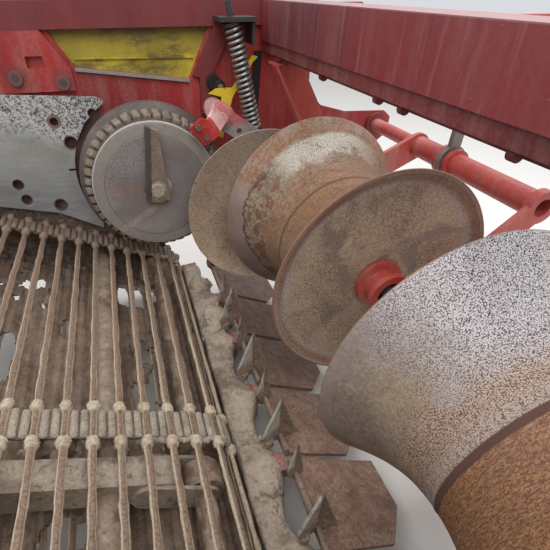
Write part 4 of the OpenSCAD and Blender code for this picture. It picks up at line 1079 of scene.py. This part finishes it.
class DIGGER_OT_web_soil(bpy.types.Operator):
    """Bridge the rods of the lower run with dried soil, with a few openings"""

    bl_idname = "digger.web_soil"
    bl_label = "Soil in the web"

    def execute(self, context):
        half = web_high[1] - 0.004
        start = bend * 0.3
        mesh = bmesh.new()
        bmesh.ops.create_grid(mesh, x_segments=158, y_segments=230, size=0.5)
        depth = {}
        for vert in mesh.verts:
            s = start + (vert.co.x + 0.5) * (bend + run - start)
            y = vert.co.y * 2 * half
            wide = wave(s * 7.0, y * 3.0, 0.3)
            ragged = wave(s * 26.0, y * 22.0, 1.7)
            fine = wave(s * 90.0, y * 60.0, 4.1)
            # 1 at a rod and 0 half way to the next, with a groove on each side of the rod
            rod = abs((s + FIRST_ROD) / ROD_PITCH % 1.0 - 0.5) * 2
            groove = math.exp(-((rod - 0.55) / 0.2) ** 2)
            depth[vert] = wide * 0.55 + ragged * 0.35 + fine * 0.1
            for y_at, s_at, y_half, s_half in SOIL_GAPS:
                gap = ((y - y_at) / y_half) ** 2 + ((s - bend - s_at) / s_half) ** 2
                depth[vert] = max(depth[vert], 1.4 - gap + ragged * 0.5)
            rise = 0.007 * (1 - groove) + wide * 0.002 + ragged * 0.0016 + fine * 0.001
            place, _ = on_loop(s, -rise - 0.001)
            vert.co = (place[0], y, place[1])
        holes = [face for face in mesh.faces
                 if sum(depth[v] for v in face.verts) / 4 > context.scene.digger.web_gaps]
        bmesh.ops.delete(mesh, geom=holes, context="FACES")
        bmesh.ops.recalc_face_normals(mesh, faces=mesh.faces)
        bmesh.ops.solidify(mesh, geom=mesh.faces[:], thickness=0.004)
        finished(mesh, "web_soil", "frame", web_crust("web_soil_crust"), ("web",))
        return {"FINISHED"}


class DIGGER_OT_soil(bpy.types.Operator):
    """Cake the share beam with dried soil that flares out along the bars of the plates"""

    bl_idname = "digger.soil"
    bl_label = "Caked soil"

    def execute(self, context):
        low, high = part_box("share_beam")
        bar_low, bar_high = (corner[1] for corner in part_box("share_carriers"))
        pitch = (bar_high - bar_low - 2 * BAR_HALF) / 5
        bars = [bar_low + BAR_HALF + pitch * i for i in range(6)]
        length = high[1] - low[1]
        x_at, _, z_at = middle("share_beam")

        def flare_at(y):
            return math.exp(-(min(abs(y - bar) for bar in bars) / BAR_FLARE) ** 2)

        steps = 420
        crust = turned([(1.0, low[1] + length * k / steps) for k in range(steps + 1)], 96,
                       capped=False)
        for vert in crust.verts:
            x, y, z = vert.co
            fine = Vector((x * 3.0, y * 55.0, z * 3.0))
            flare = flare_at(y)
            swell = 1.0 + 0.07 * wave(x * 0.8, y * 11.0, z * 0.8) + 0.035 * noise.noise(fine)
            swell += 0.02 * noise.noise(fine * 2.7)
            wide = 0.033 + (0.034 * flare + wave(y * 17.0, 0.0, 5.0) * 0.008 if x > 0 else 0.0)
            tall = 0.036 - 0.014 * min(x, 0.0) + 0.022 * flare + 0.006 * wave(y * 6.0, 2.0, 0.0)
            vert.co.x = x_at + math.copysign(abs(x) ** 0.55, x) * wide * swell
            vert.co.z = z_at + math.copysign(abs(z) ** 0.45, z) * (tall if z > 0 else 0.03) * swell
        finished(crust, "share_beam_soil", "frame", clay("pale_clay"))
        clods = [lump((x_at + dx, y, z_at + dz), (size, size * 1.35, size * 0.7), k + 1.0)
                 for k, (y, dx, dz, size) in enumerate(CLODS)]
        for k in range(110):
            y = low[1] + 0.03 + (length - 0.06) * ((k * 0.618034) % 1.0)
            flare = flare_at(y)
            size = 0.0045 + 0.0045 * abs(wave(k * 1.9, 7.0, 3.0)) * 2
            x = x_at + 0.012 + wave(k * 3.1, 0.5, 0.2) * 0.05 * (0.6 + flare)
            clods.append(lump((x, y, z_at + 0.034 + 0.013 * flare), (size, size * 1.3, size * 0.8),
                              k + 20.0, 2))
        finished(merged(clods), "share_beam_clods", "frame", clay("broken_clay"))
        return {"FINISHED"}


class DIGGER_OT_haulm_rollers(bpy.types.Operator):
    """Turn the rubber of the haulm rollers, set a ring of lugs into its shoulder, and make the
    steel face with its tapered channel"""

    bl_idname = "digger.haulm_rollers"
    bl_label = "Haulm rollers"

    def execute(self, context):
        digger = context.scene.digger
        for side, sign in SIDES:
            low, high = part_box(f"haulm_tyre_{side}")
            radius = (high[2] - low[2]) / 2
            inner = low[1] if sign > 0 else -high[1]
            x_at, _, z_at = middle(f"haulm_tyre_{side}")
            centre = (x_at, 0.0, z_at)
            width = high[1] - low[1]
            body = f"haulm_roller_{side}"
            tread = ((0.045, 0.0), (0.1795, 0.0), (0.1805, 0.003), (0.1815, 0.01), (0.184, 0.032),
                     (0.197, 0.037), (0.204, 0.042), (radius - 0.004, 0.052), (radius, 0.062),
                     (radius, width - 0.018), (radius - 0.003, width - 0.012),
                     (radius - 0.014, width), (0.12, width), (0.1, width - 0.026),
                     (0.045, width - 0.026))
            finished(turned([(r, inner + y) for r, y in tread], 128, centre, sign, False),
                     f"haulm_rubber_{side}", body, tread_rubber(f"tread_{side}", inner),
                     (f"haulm_tyre_{side}",))
            lugs = []
            for i in range(digger.lug_count):
                wobble = wave(i * 2.3, sign, 0.4)
                lug = block((0.0195, 0.028, 0.019), (0.0, 0.0, 0.1885 + wobble * 0.001), 0.0,
                            0.0026, 2)
                for vert in lug.verts:
                    vert.co.z += vert.co.y * sign * 0.42 - 0.0015
                roughen(lug, 0.0012, 90.0, i * 1.3)
                placed(lug, (0.0, sign * (inner + 0.0225), 0.0), 0.3 * sign, "Z")
                lugs.append(placed(lug, centre, math.tau * i / digger.lug_count))
            finished(merged(lugs), f"haulm_lugs_{side}", body, lug_soil(f"lug_{side}"),
                     (f"haulm_tyre_{side}",))
            front = inner - 0.006
            behind = abs(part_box(f"haulm_face_{side}")[1 if sign > 0 else 0][1])
            hub, collar, floor = 0.0445, front + 0.0057, front - CHANNEL_DEEP
            face = turned([(0.1445, front), (BEVEL, front + 0.0006), (0.172, front + 0.0028),
                           (0.1785, front + 0.0038), (0.1797, collar), (hub, collar), (hub, behind)],
                          128, centre, sign)
            foot = turned([(0.038, front), (0.038, front - CHANNEL_DEEP * 0.9), (0.0355, floor)],
                          40, centre, sign)
            nut = turned([(0.0225, front - CHANNEL_DEEP * 0.9), (0.0225, front - CHANNEL_DEEP * 1.16),
                          (0.019, front - CHANNEL_DEEP * 1.24)], 8, centre, sign)
            channel = block((1.0, CHANNEL_DEEP, 1.0), ORIGIN)
            for vert in channel.verts:
                share = vert.co.z + 0.5
                left = -0.036 + 0.026 * share
                right = 0.034 - 0.012 * share
                vert.co.z = -0.031 + (digger.channel_length + 0.031) * share
                if share > 0.5 and vert.co.x > 0:
                    vert.co.z -= 0.012
                vert.co.x = left + (right - left) * (vert.co.x + 0.5)
            placed(channel, (x_at, (front + floor) / 2 * sign, z_at))
            finished(merged([face, foot, channel, nut]), f"roller_face_{side}", body,
                     roller_face(f"face_steel_{side}", centre, front),
                     (f"haulm_face_{side}",), False)
        return {"FINISHED"}


class DIGGER_OT_stops(bpy.types.Operator):
    """Make the rubber stops of the coulter arms with their bolts, and the arms' round heads"""

    bl_idname = "digger.stops"
    bl_label = "Stops and arm heads"

    def execute(self, context):
        rubber = plain_metal("worn_rubber", (0.045, 0.042, 0.04), 0.6, 0.05)
        steel = plain_metal("stop_bolt", (0.34, 0.31, 0.28), 0.45, 0.05)
        for side, sign in SIDES:
            low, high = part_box(f"bump_stop_{side}")
            back = high[1] if sign > 0 else -low[1]
            upper = (low[0] + 0.019, 0.0, high[2] - 0.019)
            lower = (high[0] - 0.017, 0.0, low[2] + 0.017)
            between = ((upper[0] + lower[0]) / 2, (back - 0.0065) * sign, (upper[2] + lower[2]) / 2)
            stop = [turned([(0.019, back), (0.019, back - 0.014), (0.017, back - 0.016)],
                           28, upper, sign),
                    turned([(0.0165, back), (0.0165, back - 0.022), (0.0145, back - 0.024)],
                           28, lower, sign),
                    block((0.02, 0.013, 0.026), between, -0.95)]
            finished(merged(stop), f"stop_rubber_{side}", "frame", rubber,
                     (f"bump_stop_{side}",), False)
            finished(turned([(0.0085, back - 0.023), (0.0085, back - 0.026)], 6, lower, sign),
                     f"stop_bolt_{side}", "frame", steel, (), False)
            bevel = 0.0015
            head = turned([(HEAD_RADIUS - bevel, HEAD_IN), (HEAD_RADIUS, HEAD_IN + bevel),
                           (HEAD_RADIUS, HEAD_OUT - bevel), (HEAD_RADIUS - bevel, HEAD_OUT)],
                          48, (ARM_HEAD[0], 0.0, ARM_HEAD[1]), sign)
            finished(head, f"coulter_arm_head_{side}", "frame", arm_paint("arm_head_paint"))
        return {"FINISHED"}


class DIGGER_OT_rollers(bpy.types.Operator):
    """Turn the two waisted rollers with their rolled rims and welded seams"""

    bl_idname = "digger.rollers"
    bl_label = "Waisted rollers"

    def execute(self, context):
        waist = context.scene.digger.waist
        steps = 44
        for side, sign in SIDES:
            low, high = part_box(f"diabolo_{side}")
            centre = middle(f"diabolo_{side}")
            radius = (high[2] - low[2]) / 2
            half = (high[1] - low[1]) / 2
            shell = []
            for k in range(-steps, steps + 1):
                u = k / steps
                bow = 1 - math.cos(math.pi / 2 * abs(u) ** 1.15)
                weld = 0.0012 * math.exp(-((u - 0.02) * 90) ** 2)
                shell.append((waist + (radius - 0.001 - waist) * bow + weld, u * (half - 0.004)))
            plate = half - 0.014
            end = [(radius, half - 0.0025), (radius - 0.001, half - 0.0005), (radius - 0.0035, half),
                   (radius - 0.007, half - 0.001), (radius - 0.0105, half - 0.0035),
                   (radius - 0.022, plate + 0.0045), (radius - 0.03, plate + 0.0012),
                   (radius - 0.04, plate), (radius * 0.6, plate - 0.0008), (0.065, plate),
                   (0.0455, plate), (0.0455, plate - 0.006)]
            start = [(r, -y) for r, y in reversed(end)]
            skin = turned(start + shell + end, 128, centre, capped=False)
            for vert in skin.verts:
                spot = Vector(vert.co) * 7.0
                out = Vector((vert.co.x - centre[0], 0.0, vert.co.z - centre[2]))
                if out.length > 0.1:
                    dent = noise.noise(spot) * 0.0011 + noise.noise(spot * 4) * 0.0003
                    vert.co -= out.normalized() * abs(dent)
            finished(skin, f"waisted_roller_{side}", f"diabolo_roller_{side}",
                     roller_rust(f"roller_rust_{side}", centre, half, sign),
                     (f"diabolo_{side}",))
        return {"FINISHED"}


class DIGGER_OT_stage(bpy.types.Operator):
    """Set up the floor, the lamps and the camera"""

    bl_idname = "digger.stage"
    bl_label = "Stage"

    def execute(self, context):
        digger = context.scene.digger
        scene = context.scene
        mesh = bmesh.new()
        bmesh.ops.create_grid(mesh, x_segments=1, y_segments=1, size=12.0)
        placed(mesh, (0.9, 0.0, cad_box[0][2] - digger.floor_gap))
        data = bpy.data.meshes.new("floor")
        mesh.to_mesh(data)
        mesh.free()
        data.materials.append(Finish("plain_floor").done(tuple(digger.floor_colour), 0.9))
        floor = added("floor", data)
        world = bpy.data.worlds.new("soft_sky")
        world.use_nodes = True
        background = world.node_tree.nodes["Background"]
        background.inputs["Color"].default_value = (0.93, 0.95, 1.0, 1.0)
        background.inputs["Strength"].default_value = 0.75
        scene.world = world
        for place, power, size in (((0.9, -2.2, 3.2), 90.0, 3.0), ((2.8, 1.6, 3.0), 70.0, 2.5),
                                   ((-1.0, 0.5, 3.0), 50.0, 2.5)):
            lamp = bpy.data.lights.new("soft_lamp", "AREA")
            lamp.energy = power
            lamp.size = size
            aim = Vector((0.9, 0.0, 0.0)) - Vector(place)
            added("soft_lamp", lamp, place, aim.to_track_quat("-Z", "Y").to_euler())
        camera = bpy.data.cameras.new("camera")
        camera.sensor_width = 36.0
        camera.lens = digger.camera_lens
        camera.shift_x, camera.shift_y = digger.camera_shift
        camera.clip_start = 0.01
        scene.camera = added("camera", camera, digger.camera_place,
                             (math.radians(90) - digger.camera_down, 0.0, -digger.camera_turn))
        scene.view_settings.view_transform = "Standard"
        return {"FINISHED"}


STEPS = (DIGGER_OT_finishes, DIGGER_OT_web, DIGGER_OT_web_soil, DIGGER_OT_soil,
         DIGGER_OT_haulm_rollers, DIGGER_OT_stops, DIGGER_OT_rollers, DIGGER_OT_stage)


class DIGGER_PT_panel(bpy.types.Panel):
    """Lists the steps that dress the unit"""

    bl_label = "Lifting Unit"
    bl_idname = "DIGGER_PT_panel"
    bl_space_type = "VIEW_3D"
    bl_region_type = "UI"
    bl_category = "Digger"

    def draw(self, context):
        for name in DiggerProperties.__annotations__:
            self.layout.prop(context.scene.digger, name)
        for step in STEPS:
            self.layout.operator(step.bl_idname)


CLASSES = (DiggerProperties, *STEPS, DIGGER_PT_panel)


def register():
    for kind in CLASSES:
        bpy.utils.register_class(kind)
    bpy.types.Scene.digger = bpy.props.PointerProperty(type=DiggerProperties)


def unregister():
    del bpy.types.Scene.digger
    for kind in reversed(CLASSES):
        bpy.utils.unregister_class(kind)


def main():
    """Registers the add-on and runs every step."""
    register()
    for step in STEPS:
        area, name = step.bl_idname.split(".")
        getattr(getattr(bpy.ops, area), name)()


if __name__ == "__main__":
    main()
